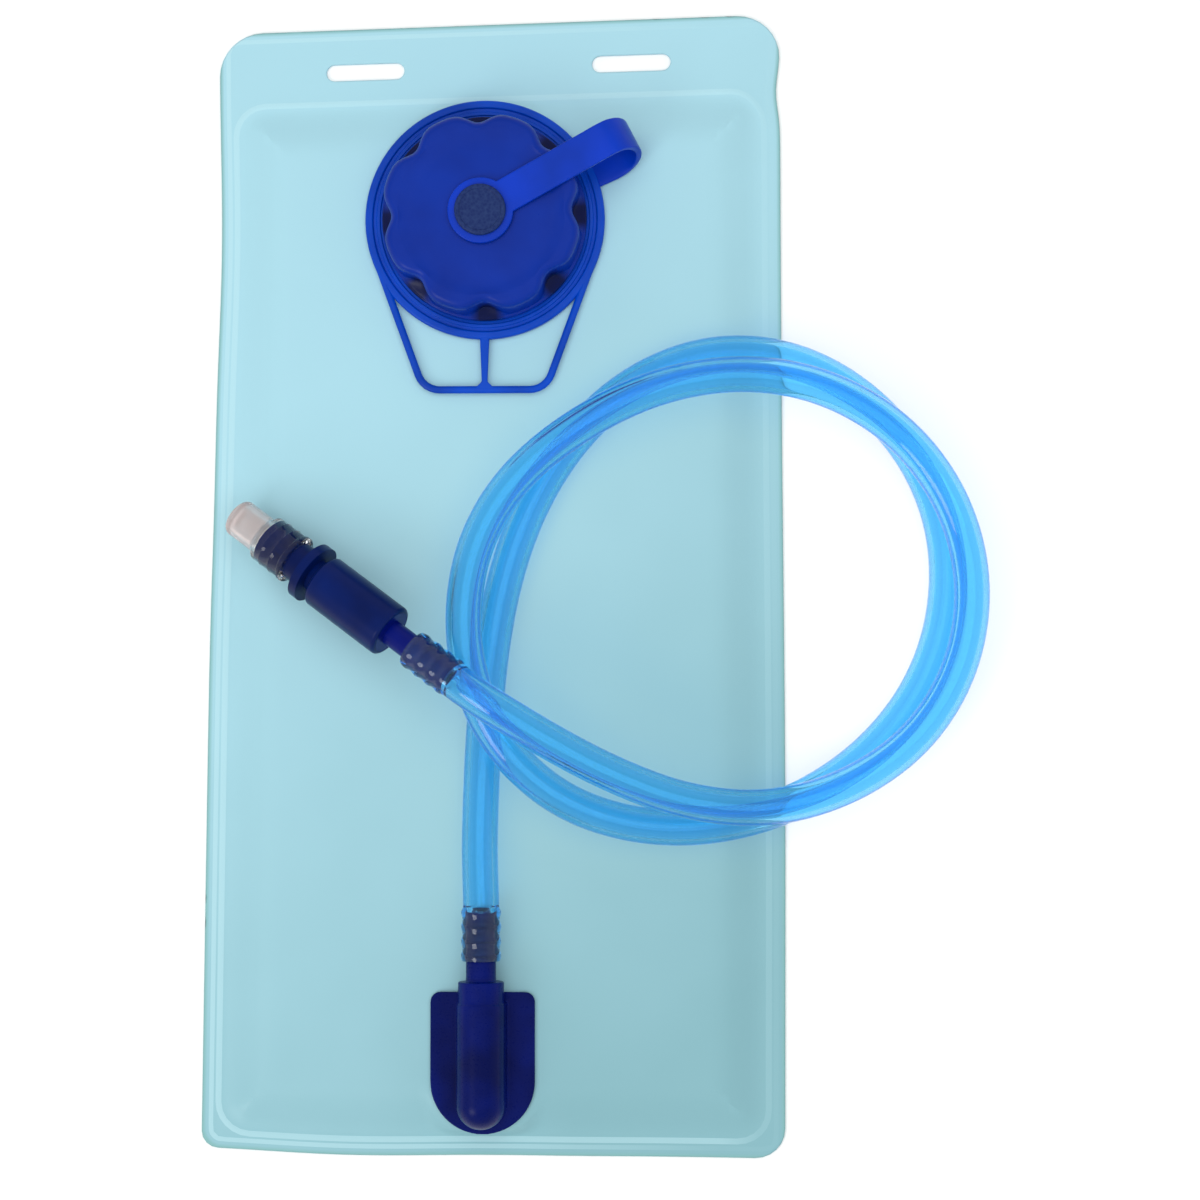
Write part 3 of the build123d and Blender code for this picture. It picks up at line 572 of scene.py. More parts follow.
def bar_tree():
    """Sweeps an oval along a line."""
    tree = node_tree("oval bar", {"Width": 0.0023, "Flatness": 0.7, "Material": None})
    ins = add(tree, "NodeGroupInput").outputs
    line = add(tree, "GeometryNodeMeshToCurve", {"Mesh": ins["Geometry"]})
    level = add(tree, "GeometryNodeSetCurveNormal", {"Curve": line})
    half = add(tree, TIMES, [ins["Width"], 0.5])
    ring = add(tree, "GeometryNodeCurvePrimitiveCircle", {"Resolution": 20, "Radius": half})
    flat = add(tree, "ShaderNodeCombineXYZ", [1.0, ins["Flatness"], 1.0])
    oval = add(tree, "GeometryNodeTransform", {"Geometry": ring, "Scale": flat})
    bar = add(tree, "GeometryNodeCurveToMesh", {"Curve": level, "Profile Curve": oval, "Fill Caps": True})
    crisp_tail(tree, bar, ins, angle=1.0)
    return tree


def merged(keep, *others):
    """Puts other objects' meshes into the first one's."""
    work = bmesh.new()
    for made in (keep, *others):
        work.from_mesh(made.data)
    work.to_mesh(keep.data)
    work.free()
    for made in others:
        bpy.data.objects.remove(made)
    return paint(keep, keep.data.materials[0])


def belongs(made, body, slot, *nodes):
    """Rides a body and stands for CAD nodes, which it hides; the slot is not used."""
    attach(made, body)
    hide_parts(*nodes)
    return made


# ---- the films -------------------------------------------------------------------------------
class FilmSettings(bpy.types.PropertyGroup):
    seam: size_setting("Seam", 0.0043, "Width of the welded edge")
    header: size_setting("Header", 0.0228, "Height of the welded strip at the top")
    top_corner: size_setting("Top corners", 0.0135, "Radius of the bag's top corners")
    panel_corner: size_setting("Panel corners", 0.010, "Radius of the unwelded panel's corners")
    slot_length: size_setting("Slot length", 0.0245, "Length of a hanging slot")
    slot_width: size_setting("Slot width", 0.0052, "Width of a hanging slot")
    slot_spacing: size_setting("Slot spacing", 0.083, "Between the middles of the slots")
    # Light and the colour below it are the two ends of painted light on the film: lit at the upper left, in
    # painted shade at the lower right.
    light: colour_setting("Light", "#acdce9", "Film where it is palest")
    painted_shade: colour_setting("Dark", "#88b9c2", "Film where it is deepest")
    weld: colour_setting("Weld", "#c4ecf4", "Pale line of the weld")
    edge: colour_setting("Cut edge", "#84b9b8", "Film's cut edge")


def rounded_box(x_low, x_high, y_low, y_high, radii, step):
    """Points anticlockwise round a box; radii are those of its corners from the lower left."""
    corners = [(x_low, y_low, 180), (x_high, y_low, 270), (x_high, y_high, 0), (x_low, y_high, 90)]
    inward = [(1, 1), (-1, 1), (-1, -1), (1, -1)]
    points = []
    for (x, y, first), (in_x, in_y), r in zip(corners, inward, radii):
        turns = max(4, round(r * math.pi / 2 / step))
        for k in range(turns + 1):
            angle = math.radians(first + 90 * k / turns)
            points.append((x + in_x * r + r * math.cos(angle), y + in_y * r + r * math.sin(angle)))
    filled = []
    for here, there in zip(points, points[1:] + points[:1]):
        gap = math.dist(here, there)
        parts = max(1, round(gap / step))
        filled += [(here[0] + (there[0] - here[0]) * k / parts, here[1] + (there[1] - here[1]) * k / parts)
                   for k in range(parts) if gap > 1e-6 or k == 0]
    return filled


def circle(x, y, r, step):
    """Points anticlockwise round a circle."""
    count = round(2 * math.pi * r / step)
    return [(x + r * math.cos(2 * math.pi * k / count), y + r * math.sin(2 * math.pi * k / count))
            for k in range(count)]


def inside(points, loop):
    """Which of the points lie inside a closed loop."""
    points, loop = np.asarray(points), np.asarray(loop)
    x, y = points[:, 0], points[:, 1]
    found = np.zeros(len(points), bool)
    for (x0, y0), (x1, y1) in zip(loop, np.roll(loop, -1, axis=0)):
        if y0 == y1:
            continue
        crosses = (y0 > y) != (y1 > y)
        found ^= crosses & (x < (x1 - x0) * (y - y0) / (y1 - y0) + x0)
    return found


def round_loop(start, count):
    """The edges of a closed loop of points that begins at that number."""
    return [(start + k, start + (k + 1) % count) for k in range(count)]


def within(points, triangles, outline, holes):
    """The triangles whose middles lie inside the outline and in none of the holes."""
    middles = [sum((points[i] for i in t), Vector((0, 0))) / 3 for t in triangles]
    keep = inside(middles, outline)
    for hole in holes:
        keep &= ~inside(middles, hole)
    return [t for t, kept in zip(triangles, keep) if kept]


def depth(x, y, box, radius):
    """How far inside a rounded box a point is, negative outside."""
    x_low, x_high, y_low, y_high = box
    from_x = abs(x - (x_low + x_high) / 2) - (x_high - x_low) / 2 + radius
    from_y = abs(y - (y_low + y_high) / 2) - (y_high - y_low) / 2 + radius
    outer = math.hypot(max(from_x, 0), max(from_y, 0)) + min(max(from_x, from_y), 0)
    return radius - outer


def ease(value, low, high):
    """0 below low, 1 above high, and smooth between them."""
    t = min(max((value - low) / (high - low), 0.0), 1.0)
    return t * t * (3 - 2 * t)


def hill(value, at, width):
    """A smooth hump of height 1 at a place, gone a width away from it."""
    return math.exp(-((value - at) / width * 1.6) ** 2)


BAG = (FILM_LOW.x, FILM_HIGH.x, FILM_LOW.y, FILM_HIGH.y)
LOWER_LEFT_R, LOWER_RIGHT_R, EDGE_CORNER_R = 0.005, 0.009, 0.006
WELD_GAP = 0.03 * MM    # keeps the welded sheets' faces apart
# Height, place and width of the soft ridges along the cut edge and along the weld.
EDGE_BEAD, WELD_BEAD = (0.10 * MM, 3.0 * MM, 1.3 * MM), (0.22 * MM, 0.7 * MM, 1.9 * MM)
SLOT_DROP = 13.5 * MM    # from the bag's top to the slots' middles
PORT_HOLE_R, OUTLET_HOLE_R, OUTLET_HOLE_Y = 0.0243, 0.0055, -0.1575
OUTLET_PLATE_TOP = -0.124
LOOP_STEP = 2.5 * MM    # from point to point along a loop of the sheet
GRID_STEP = 3 * MM    # from point to point between the loops
EDGE_LOOPS = (0.5, 1.1, 1.8, 2.4, 3.0, 3.5)    # mm inwards from the cut edge
PANEL_LOOPS = (-0.3, 0.1, 0.5, 0.9, 1.4, 2.0, 3.0, 4.5, 6.5, 9.0, 12.0, 15.0, 18.0)    # and from the weld
# How the limp bag's corners lie off a true rectangle, from the lower left, anticlockwise.
CORNER_DRIFT = [Vector(move) for move in (
    (-0.0019, 0.0030), (0.0025, 0.0), (0.0016, 0.0025), (0.0020, -0.0023))]


def drift(x, y):
    """Where a point of the cut sheet comes to lie on the table."""
    u = (x - BAG[0]) / (BAG[1] - BAG[0])
    v = (y - BAG[2]) / (BAG[3] - BAG[2])
    low = CORNER_DRIFT[0].lerp(CORNER_DRIFT[1], u)
    high = CORNER_DRIFT[3].lerp(CORNER_DRIFT[2], u)
    move = low.lerp(high, v)
    left_dent = 0.0019 * (hill(y, 0.105, 0.075) + 0.35 * hill(y, 0.030, 0.06))
    right_dent = -0.0012 * hill(y, 0.151, 0.012) + 0.0006 * hill(y, -0.060, 0.14)
    sag = -0.0018 * hill(x, -0.042, 0.060) - 0.0005 * hill(x, 0.020, 0.05)
    move.x += left_dent * (1 - ease(u, 0, 0.3)) + right_dent * ease(u, 0.7, 1)
    move.y += sag * (1 - ease(v, 0, 0.15))
    return x + move.x, y + move.y


def film_height(x, y, panel, corner):
    """Height of the front sheet's upper face over the table."""
    edge = depth(x, y, BAG, EDGE_CORNER_R)
    deep = depth(x, y, panel, corner)
    flat = 2 * FILM_T + WELD_GAP
    full = FILM_HIGH.z
    lip = 1 - 0.95 * ease(x, 0.02, 0.07) * (y < 0.14)
    z = flat + EDGE_BEAD[0] * lip * hill(edge, *EDGE_BEAD[1:]) * (deep < 0)
    z += WELD_BEAD[0] * lip * hill(deep, *WELD_BEAD[1:])
    pillow = ease(deep, 1.5 * MM, 17 * MM)
    to_port = math.hypot(x - PORT.x, y - PORT.y)
    over_flange = 1 - ease(to_port, 31.5 * MM, 42 * MM)
    outlet_box = (OUTLET_LOW.x, OUTLET_HIGH.x, OUTLET_LOW.y, OUTLET_PLATE_TOP)
    under_outlet = ease(depth(x, y, outlet_box, 16 * MM), -7 * MM, 0.2 * MM)
    held = max(over_flange, under_outlet) * ease(deep, 0.8 * MM, 4.5 * MM)
    slack = 0.5 + 0.5 * noise.noise(Vector((x * 18, y * 11, 0.3)))
    slack += 0.35 * noise.noise(Vector((x * 55, y * 32, 4.1)))
    z += (full - flat) * max(pillow, held)
    z -= 0.7 * MM * max(slack, 0) * pillow * (1 - held)
    crease = hill(y, 0.0970, 0.0012) * hill(x, -0.064, 0.008)
    return z - 0.35 * MM * crease


class FilmPlan:
    """The flat plan of a sheet: its loops, its grid, and what lies where."""

    def __init__(self, settings):
        self.panel = (BAG[0] + settings.seam, BAG[1] - settings.seam,
                      BAG[2] + settings.seam, BAG[3] - settings.header)
        self.corner = settings.panel_corner
        self.radii = [LOWER_LEFT_R, LOWER_RIGHT_R, settings.top_corner, settings.top_corner]
        slot_y = BAG[3] - SLOT_DROP
        self.slots = [(x - settings.slot_length / 2, x + settings.slot_length / 2,
                       slot_y - settings.slot_width / 2, slot_y + settings.slot_width / 2)
                      for x in (-settings.slot_spacing / 2, settings.slot_spacing / 2)]

    def ring(self, box, radii, inset, step=LOOP_STEP):
        """A loop along the given box moved inwards."""
        x_low, x_high, y_low, y_high = box
        return rounded_box(x_low + inset, x_high - inset, y_low + inset, y_high - inset,
                           [max(r - inset, 0.6 * MM) for r in radii], step)

    def triangulate(self, holes):
        """Points in the cut sheet and as they lie, and the triangles between them."""
        cut, lying, edges, open_loops = [], [], [], []

        def put_loop(loop, lies=True):
            start = len(cut)
            for x, y in loop:
                cut.append((x, y))
                lying.append(drift(x, y) if lies else (x, y))
            edges.extend(round_loop(start, len(loop)))
            return lying[start:]

        outline = put_loop(self.ring(BAG, self.radii, 0))
        for inset in EDGE_LOOPS:
            put_loop(self.ring(BAG, self.radii, inset * MM))
        for inset in PANEL_LOOPS:
            put_loop(self.ring(self.panel, [self.corner] * 4, inset * MM))
        for slot in self.slots:
            end = (slot[3] - slot[2]) / 2
            open_loops.append(put_loop(self.ring(slot, [end] * 4, 0, 0.8 * MM)))
            for out, step in ((0.5 * MM, 1.0 * MM), (1.2 * MM, 1.4 * MM)):
                put_loop(self.ring(slot, [end] * 4, -out, step))
        for hole in holes:
            open_loops.append(put_loop(hole, lies=False))
        for row in range(round((BAG[3] - BAG[2]) / GRID_STEP)):
            for column in range(round((BAG[1] - BAG[0]) / GRID_STEP)):
                x, y = BAG[0] + (column + 0.5) * GRID_STEP, BAG[2] + (row + 0.5) * GRID_STEP
                deep = depth(x, y, self.panel, self.corner)
                in_panel = deep > 20 * MM
                in_header = deep < -2 * MM and depth(x, y, BAG, 0.0135) > 5 * MM and all(
                    depth(x, y, slot, 2.6 * MM) < -2.4 * MM for slot in self.slots)
                if in_panel or in_header:
                    cut.append((x, y))
                    lying.append(drift(x, y))
        points, _, triangles, origins, *_ = delaunay_2d_cdt([Vector(p) for p in lying], edges, [], 0, 1e-7)
        places = [cut[found[0]] if found else tuple(point) for point, found in zip(points, origins)]
        return places, points, within(points, triangles, outline, open_loops)


def film_sheet(name, plan, holes, height, material):
    """A sheet of film with its upper face at the given height, one film thick."""
    places, points, triangles = plan.triangulate(holes)
    used = sorted({i for t in triangles for i in t})
    number = {old: new for new, old in enumerate(used)}
    mesh = mesh_from(name, [(points[i].x, points[i].y, height(*places[i])) for i in used],
                     [[number[i] for i in t] for t in triangles])
    for label, box, radius in (("from_edge", BAG, EDGE_CORNER_R), ("in_panel", plan.panel, plan.corner)):
        values = [depth(*places[i], box, radius) / MM for i in used]
        mesh.attributes.new(label, "FLOAT", "POINT").data.foreach_set("value", values)
    sheet = new_object(name, mesh, material)
    modify(sheet, "film", "SOLIDIFY", thickness=FILM_T, offset=-1.0)
    return settle(sheet)


def film_material(settings):
    """Polyurethane film, calendered and welded: pale blue and frosted, painted lighter at the upper left and
    darker towards the lower right as light falls, palest at its welds.
    """
    material, tree, shader, place = new_material("frosted polyurethane film")
    clouds = add(tree, NOISE, {"Vector": place, "Scale": per(70), "Detail": 3.0, "Roughness": 0.5})
    spot = add(tree, "ShaderNodeSeparateXYZ", [place]).outputs
    # Painted light: the film is painted paler towards the upper left and darker towards the lower right, with
    # cloudy tone mixed in.
    painted_light_slope = add(tree, TIMES_PLUS, [spot["X"], -0.9, spot["Y"]])
    clouds_and_painted_light = add(tree, TIMES_PLUS, [clouds, -0.10, painted_light_slope])
    even = add(tree, RANGE, [clouds_and_painted_light, 0.05, -0.24])
    in_panel, from_edge = (add(tree, "ShaderNodeAttribute", attribute_name=name).outputs["Fac"]
                           for name in ("in_panel", "from_edge"))
    weld_line = add(tree, NEAR, [in_panel, 0.6, 0.9])
    edge_bead = add(tree, NEAR, [from_edge, 2.7, 0.7])
    leftwards = add(tree, RANGE, [spot["X"], 0.0, 0.07, 1.0, 0.1])
    bead = add(tree, TIMES, [edge_bead, leftwards])
    low_right = add(tree, RANGE, [spot["X"], 0.07, 0.082, 1.0, 0.3])
    line = add(tree, TIMES, [weld_line, low_right])
    pale = add(tree, MATH, [line, bead], operation="MAXIMUM")
    share = add(tree, TIMES, [pale, 0.4])
    rim = add(tree, RANGE, [from_edge, 0.3, 1.3, 0.85, 0.0])
    shade = tuple(settings.light)
    for amount, colour in ((even, settings.painted_shade), (share, settings.weld), (rim, settings.edge)):
        shade = add(tree, MIX, {0: amount, 6: shade, 7: tuple(colour)}, data_type="RGBA").outputs[2]
    grain = add(tree, NOISE, {"Vector": place, "Scale": per(0.8), "Detail": 2.0})
    bump = add(tree, "ShaderNodeBump", {"Height": grain, "Strength": 0.15, "Distance": 0.05 * MM})
    fill(tree, shader, {"Base Color": shade, "Roughness": 0.42, "IOR": 1.48, "Alpha": 0.9, "Normal": bump})
    return material


class BLADDER_OT_films(bpy.types.Operator):
    """Makes the two sheets of film that are welded into the bag"""
    bl_idname = "bladder.films"
    bl_label = "Films"

    def execute(self, context):
        settings = context.scene.bladder_film
        plan = FilmPlan(settings)
        material = film_material(settings)
        port_hole = circle(PORT.x, PORT.y, PORT_HOLE_R, LOOP_STEP)
        outlet_hole = circle(middle("outlet").x, OUTLET_HOLE_Y, OUTLET_HOLE_R, 1.5 * MM)
        front = film_sheet("front_sheet", plan, [port_hole, outlet_hole],
                           lambda x, y: film_height(x, y, plan.panel, plan.corner), material)
        back = film_sheet("back_sheet", plan, [], lambda x, y: FILM_T, material)
        for sheet, node in ((front, "front_film"), (back, "back_film")):
            belongs(sheet, "bladder", "film", node)
        return {"FINISHED"}


# ---- the strap -------------------------------------------------------------------------------
STRAP_STEP = 0.9 * MM    # from point to point along the strap
STRAP_ROWS = 9    # points across it


class StrapSettings(bpy.types.PropertyGroup):
    width: size_setting("Width", 0.0105, "Width of the strap")
    thickness: size_setting("Thickness", 0.002, "Thickness of the strap")
    eye: size_setting("Eye", 0.010, "Outside radius of the strap's eye")
    hole: size_setting("Hole", 0.004, "Radius of the hole in the eye")
    reach: size_setting("Reach", 0.052, "From the cap's axis to the outside of the fold")
    colour: colour_setting("Colour", "#0036ba", "Soft blue plastic")


def soft_plastic(name, colour, deep, roughness, gleam=0.2):
    """Polyethylene, injection moulded: waxy, with a broad soft gleam and a very fine grain; scallop walls that
    carry the recess attribute are painted in shade.
    """
    material, tree, shader, place = new_material(name)
    flow = add(tree, NOISE, {"Vector": place, "Scale": per(22), "Detail": 3.0})
    even = add(tree, RANGE, [flow, 0.35, 0.65])
    # Painted shade: the recess attribute paints the scallop walls near-black navy, standing in for the shade
    # inside them.
    recess = add(tree, "ShaderNodeAttribute", attribute_name="recess").outputs["Fac"]
    painted_recess_shade = add(tree, RANGE, [recess, 0.6 * MM, 2.4 * MM, 0.0, 0.9])
    shade = colour
    for amount, other in ((even, deep), (painted_recess_shade, linear("#000630"))):
        shade = add(tree, MIX, {0: amount, 6: shade, 7: other}, data_type="RGBA").outputs[2]
    grain = add(tree, NOISE, {"Vector": place, "Scale": per(0.7), "Detail": 3.0})
    rough = add(tree, RANGE, {0: grain, 3: roughness - 0.06, 4: roughness + 0.08})
    bump = add(tree, "ShaderNodeBump", {"Height": grain, "Strength": 0.2, "Distance": 0.04 * MM})
    fill(tree, shader, {
        "Base Color": shade, "Roughness": rough, "IOR": 1.51, "Specular IOR Level": gleam, "Normal": bump,
    })
    return material


def strap_line(settings):
    """How the strap runs from its eye: a function from the distance along it to place and frame."""
    high = TETHER_HIGH.z - settings.thickness / 2
    low = TETHER_LOW.z + settings.thickness / 2
    fold = (high - low) / 2
    straight = settings.reach - settings.thickness / 2 - fold
    out_turn, back_turn = math.radians(29.5), math.radians(24.0)
    lower_end = RING_R - 0.0006

    def place(s):
        """Place, direction along and direction across at a distance s from the eye's middle."""
        if s <= straight:
            reach, z, pitch = s, high, 0.0
        elif s <= straight + math.pi * fold:
            pitch = (s - straight) / fold
            reach, z = straight + fold * math.sin(pitch), (high + low) / 2 + fold * math.cos(pitch)
        else:
            pitch = math.pi
            reach, z = straight - (s - straight - math.pi * fold), low
        turn = out_turn + (back_turn - out_turn) * ease(pitch, 0.3, math.pi)
        across = Vector((-math.sin(turn), math.cos(turn), 0))
        outward = Vector((math.cos(turn), math.sin(turn), 0))
        along = outward * math.cos(pitch) - Vector((0, 0, 1)) * math.sin(pitch)
        return PORT + outward * reach + Vector((0, 0, z)), along, across

    return place, straight + math.pi * fold + (straight - lower_end)


class BLADDER_OT_strap(bpy.types.Operator):
    """Makes the strap that keeps the cap"""
    bl_idname = "bladder.strap"
    bl_label = "Strap"

    def execute(self, context):
        settings = context.scene.bladder_strap
        place, length = strap_line(settings)
        half = settings.width / 2
        neck = math.sqrt(settings.eye ** 2 - half ** 2)
        turned = math.asin(half / settings.eye)
        outline = [(settings.eye * math.cos(a), settings.eye * math.sin(a))
                   for a in np.linspace(turned, 2 * math.pi - turned, 60)]
        run = np.linspace(neck + STRAP_STEP, length, round((length - neck) / STRAP_STEP))
        rows = np.linspace(-half, half, STRAP_ROWS)[1:-1]
        outline += [(s, -half) for s in run] + [(length, y) for y in rows]
        outline += [(s, half) for s in run[::-1]]
        hole = circle(0, 0, settings.hole, 0.8 * MM)
        cut = outline + hole + [(s, y) for s in run[1:-1] for y in rows]
        edges = round_loop(0, len(outline)) + round_loop(len(outline), len(hole))
        points, _, triangles, *_ = delaunay_2d_cdt([Vector(p) for p in cut], edges, [], 0, 1e-7)
        triangles = within(points, triangles, outline, [hole])
        bent = []
        for s, y in points:
            centre, _, across = place(max(s, 0))
            if s < 0:
                centre = centre + place(0)[1] * s
            bent.append(centre + across * y)
        strap = new_object("cap_strap", mesh_from("cap_strap", bent, triangles),
                           soft_plastic("moulded polyethylene, bright blue", tuple(settings.colour),
                                        linear("#002f9e"), 0.34))
        modify(strap, "wall", "SOLIDIFY", thickness=settings.thickness, offset=0.0)
        modify(strap, "edges", "BEVEL", width=0.45 * MM, segments=3, limit_method="ANGLE",
               angle_limit=math.radians(60))
        settle(strap)
        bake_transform(strap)
        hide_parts("tether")
        return {"FINISHED"}


# ---- the cap, the ring and the port ------------------------------------------------------------
class CapSettings(bpy.types.PropertyGroup):
    cap: colour_setting("Cap", "#002d98", "Cap's moulded blue")
    ring: colour_setting("Ring", "#0249c4", "Blue of the ring and its handle")
    button: colour_setting("Button", "#021c56", "Dull blue of the button")
    dish: size_setting("Dish", 0.0009, "Depth of the shallow valley round the cap's top")
    scallops: IntProperty(name="Scallops", description="Finger scallops round the cap",
                          default=8, min=0, max=16)
    scallop_depth: size_setting("Scallop depth", 0.0031, "Depth of a finger scallop")


BORE_R = (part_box("cap_gasket")[1].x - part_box("cap_gasket")[0].x) / 2 / MM
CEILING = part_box("cap_gasket")[1].z / MM
RIM_R = (CAP_HIGH.x - CAP_LOW.x) / 2 / MM
FLANGE = 2.2    # mm, the cap's lowest, plain step under the scallops


class BLADDER_OT_cap(bpy.types.Operator):
    """Makes the cap with its finger scallops, and its button"""
    bl_idname = "bladder.cap"
    bl_label = "Cap"

    def execute(self, context):
        settings = context.scene.bladder_cap
        at_port = Matrix.Translation(PORT)
        base, top = CAP_LOW.z / MM, CAP_HIGH.z / MM
        side, dish = RIM_R - 0.9, settings.dish / MM
        cap = turned("screw_cap", [
            (0, CEILING, 0), (BORE_R, CEILING, 0.3), (BORE_R, base, 0.3), (RIM_R, base, 0.4),
            (RIM_R, base + FLANGE, 0.7), (side, base + FLANGE, 0.3), (side, base + 3.0, 0), (side, base + 3.6, 0),
            (side, top, 2.6), (25.8, top - 0.1, 6.0), (21.8, top - dish, 12.0), (11.5, top, 50.0),
            (0, top, 0),
        ], soft_plastic("moulded polyethylene, blue", tuple(settings.cap), linear("#00278a"), 0.3),
            at_port, around=256, **{
                "Scallops": settings.scallops, "Depth": settings.scallop_depth, "First": math.radians(2),
                "Fade Radius": 0.0245, "Full Radius": 0.0285,
                # Brow: below this height the scallop walls take painted shade.
                "Foot": CAP_LOW.z + FLANGE * MM, "Brow": CAP_HIGH.z - 0.0012,
            })
        belongs(cap, "cap", "cap_blue", "cap_shell")

        low, high = (corner.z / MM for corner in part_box("cap_button"))
        head = high - 1.6
        button = turned("button", [
            (0, low, 0), (3.5, low, 0.2), (3.5, head, 0.2), (7.8, head, 0.3), (7.8, high, 0.8),
            (6.5, high, 0.3), (6.2, high - 0.3, 0.2), (0, high - 0.3, 0),
        ], etched_plastic(tuple(settings.button)), at_port)
        belongs(button, "cap", "button_grey", "cap_button")
        milky = soft_plastic("moulded silicone, milky", linear("#cfd6da"), linear("#dfe4e6"), 0.4)
        dress("cap_gasket", milky)
        return {"FINISHED"}


def etched_plastic(colour):
    """Polyethylene with a spark-eroded face: dull blue, pebbled like fine leather."""
    material, tree, shader, place = new_material("etched polyethylene")
    pebbles = add(tree, "ShaderNodeTexVoronoi", {"Vector": place, "Scale": per(0.9)}).outputs["Distance"]
    shades = add(tree, MIX, {0: pebbles, 6: colour, 7: linear("#1d3466")}, data_type="RGBA")
    bump = add(tree, "ShaderNodeBump", {"Height": pebbles, "Strength": 0.6, "Distance": 0.15 * MM})
    fill(tree, shader, {
        "Base Color": shades.outputs[2], "Roughness": 0.5, "Specular IOR Level": 0.3, "Normal": bump,
    })
    return material


class BLADDER_OT_ring(bpy.types.Operator):
    """Makes the stepped ring with its carrying handle, and finishes the neck"""
    bl_idname = "bladder.ring"
    bl_label = "Ring"

    def execute(self, context):
        settings = context.scene.bladder_cap
        blue = soft_plastic("moulded polyethylene, ring blue", tuple(settings.ring), linear("#023aa4"), 0.3)
        at_port = Matrix.Translation(PORT)
        low, high = (corner.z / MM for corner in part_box("handle_ring"))
        face, edge = low + 1.6, RING_R / MM
        ring = turned("ring_and_handle", [
            (24.6, low, 0.2), (edge, low, 0.3), (edge, high, 0.9), (edge - 2.4, high, 0.5),
            (edge - 2.5, face, 0.2), (edge - 3.5, face, 0.2), (edge - 3.6, face + 0.5, 0.2),
            (edge - 4.6, face + 0.5, 0.2), (edge - 4.7, face, 0.2), (24.6, face, 0.3),
        ], blue, at_port, around=192)

        lean, leg_r, out = math.radians(20.1), edge - 1.3, 52.5
        corner_x = (leg_r - out * math.sin(lean)) / math.cos(lean)
        start_x, start_y = leg_r * math.cos(lean), -leg_r * math.sin(lean)
        path = softened([(start_x, start_y, 0), (corner_x, -out, 7), (-corner_x, -out, 7),
                         (-start_x, start_y, 0)], closed=False)
        handle = new_object("handle", line_from("handle", [(x * MM, y * MM, face * MM) for x, y in path]))
        use_tree(handle, bar_tree(), {"Width": 2.3 * MM, "Flatness": 0.7, "Material": blue})
        settle(handle)
        outline = [(-1.5, -35.6), (-0.9, -50.0), (-3.4, -out), (3.4, -out), (0.9, -50.0), (1.5, -35.6)]
        rib = new_object("rib", mesh_from("rib", [(x * MM, y * MM, face * MM) for x, y in outline],
                                          [range(6)]), blue)
        modify(rib, "wall", "SOLIDIFY", thickness=1.5 * MM, offset=0.0)
        modify(rib, "edges", "BEVEL", width=0.4 * MM, segments=3)
        settle(rib)
        for made in (handle, rib):
            made.data.transform(at_port)
            outward(made)
        merged(ring, handle, rib)
        belongs(ring, "bladder", "port_blue", "handle_ring")
        dress("fill_collar", blue)
        return {"FINISHED"}


# ---- the outlet ----------------------------------------------------------------------------------
class OutletSettings(bpy.types.PropertyGroup):
    colour: colour_setting("Colour", "#001264", "Outlet's deep blue")
    voxel: size_setting("Grain", 0.00028, "Size of the cells that the moulding is rounded with")
    passes: IntProperty(name="Rounding", description="How often the edges are softened",
                        default=8, min=0, max=40)


class BLADDER_OT_outlet(bpy.types.Operator):
    """Rounds the outlet's edges and the foot of its dome, as moulded"""
    bl_idname = "bladder.outlet"
    bl_label = "Outlet"

    def execute(self, context):
        settings = context.scene.bladder_outlet
        outlet = new_object("outlet_moulding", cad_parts["outlet"].data.copy(), soft_plastic(
            "moulded polyethylene, deep blue", tuple(settings.colour), linear("#000a46"), 0.28, 0.12))
        outlet.data.transform(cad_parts["outlet"].matrix_world)
        modify(outlet, "cells", "REMESH", mode="VOXEL", voxel_size=settings.voxel)
        modify(outlet, "rounding", "SMOOTH", factor=0.6, iterations=settings.passes)
        settle(outlet)
        outlet.data.shade_smooth()
        belongs(outlet, "bladder", "outlet_navy", "outlet")
        return {"FINISHED"}


# ---- the bite valve ------------------------------------------------------------------------------
class ValveSettings(bpy.types.PropertyGroup):
    colour: colour_setting("Colour", "#001a5c", "Valve's navy")
    barb: colour_setting("Barb", "#00106c", "Blue of the barb")
    sheath: colour_setting("Sheath", "#f6f6f8", "Clear silicone of the bite sheath")
    tip: colour_setting("Tip", "#f1e6e4", "Milky silicone of the sheath's tip")
    milky: size_setting("Milky tip", 0.0115, "Length of the sheath's milky tip")


TIP = Vector(HOSE_ROUTE[-1]) + OUTWARD * 0.072    # the bite valve stands 72 mm out from the hose's end


def clear_silicone(name, colour, clear):
    """Silicone, moulded: water clear in its thin sleeve and milky in its thick tip, with a soft wet gleam."""
    material, tree, shader, place = new_material(name)
    cloud = add(tree, NOISE, {"Vector": place, "Scale": per(4), "Detail": 2.0})
    haze = add(tree, RANGE, {0: cloud, 3: 0.02, 4: 0.10})
    bump = add(tree, "ShaderNodeBump", {"Height": cloud, "Strength": 0.2, "Distance": 0.2 * MM})
    fill(tree, shader, {
        "Base Color": colour, "Roughness": haze, "IOR": 1.41, "Transmission Weight": clear, "Normal": bump,
    })
    return material


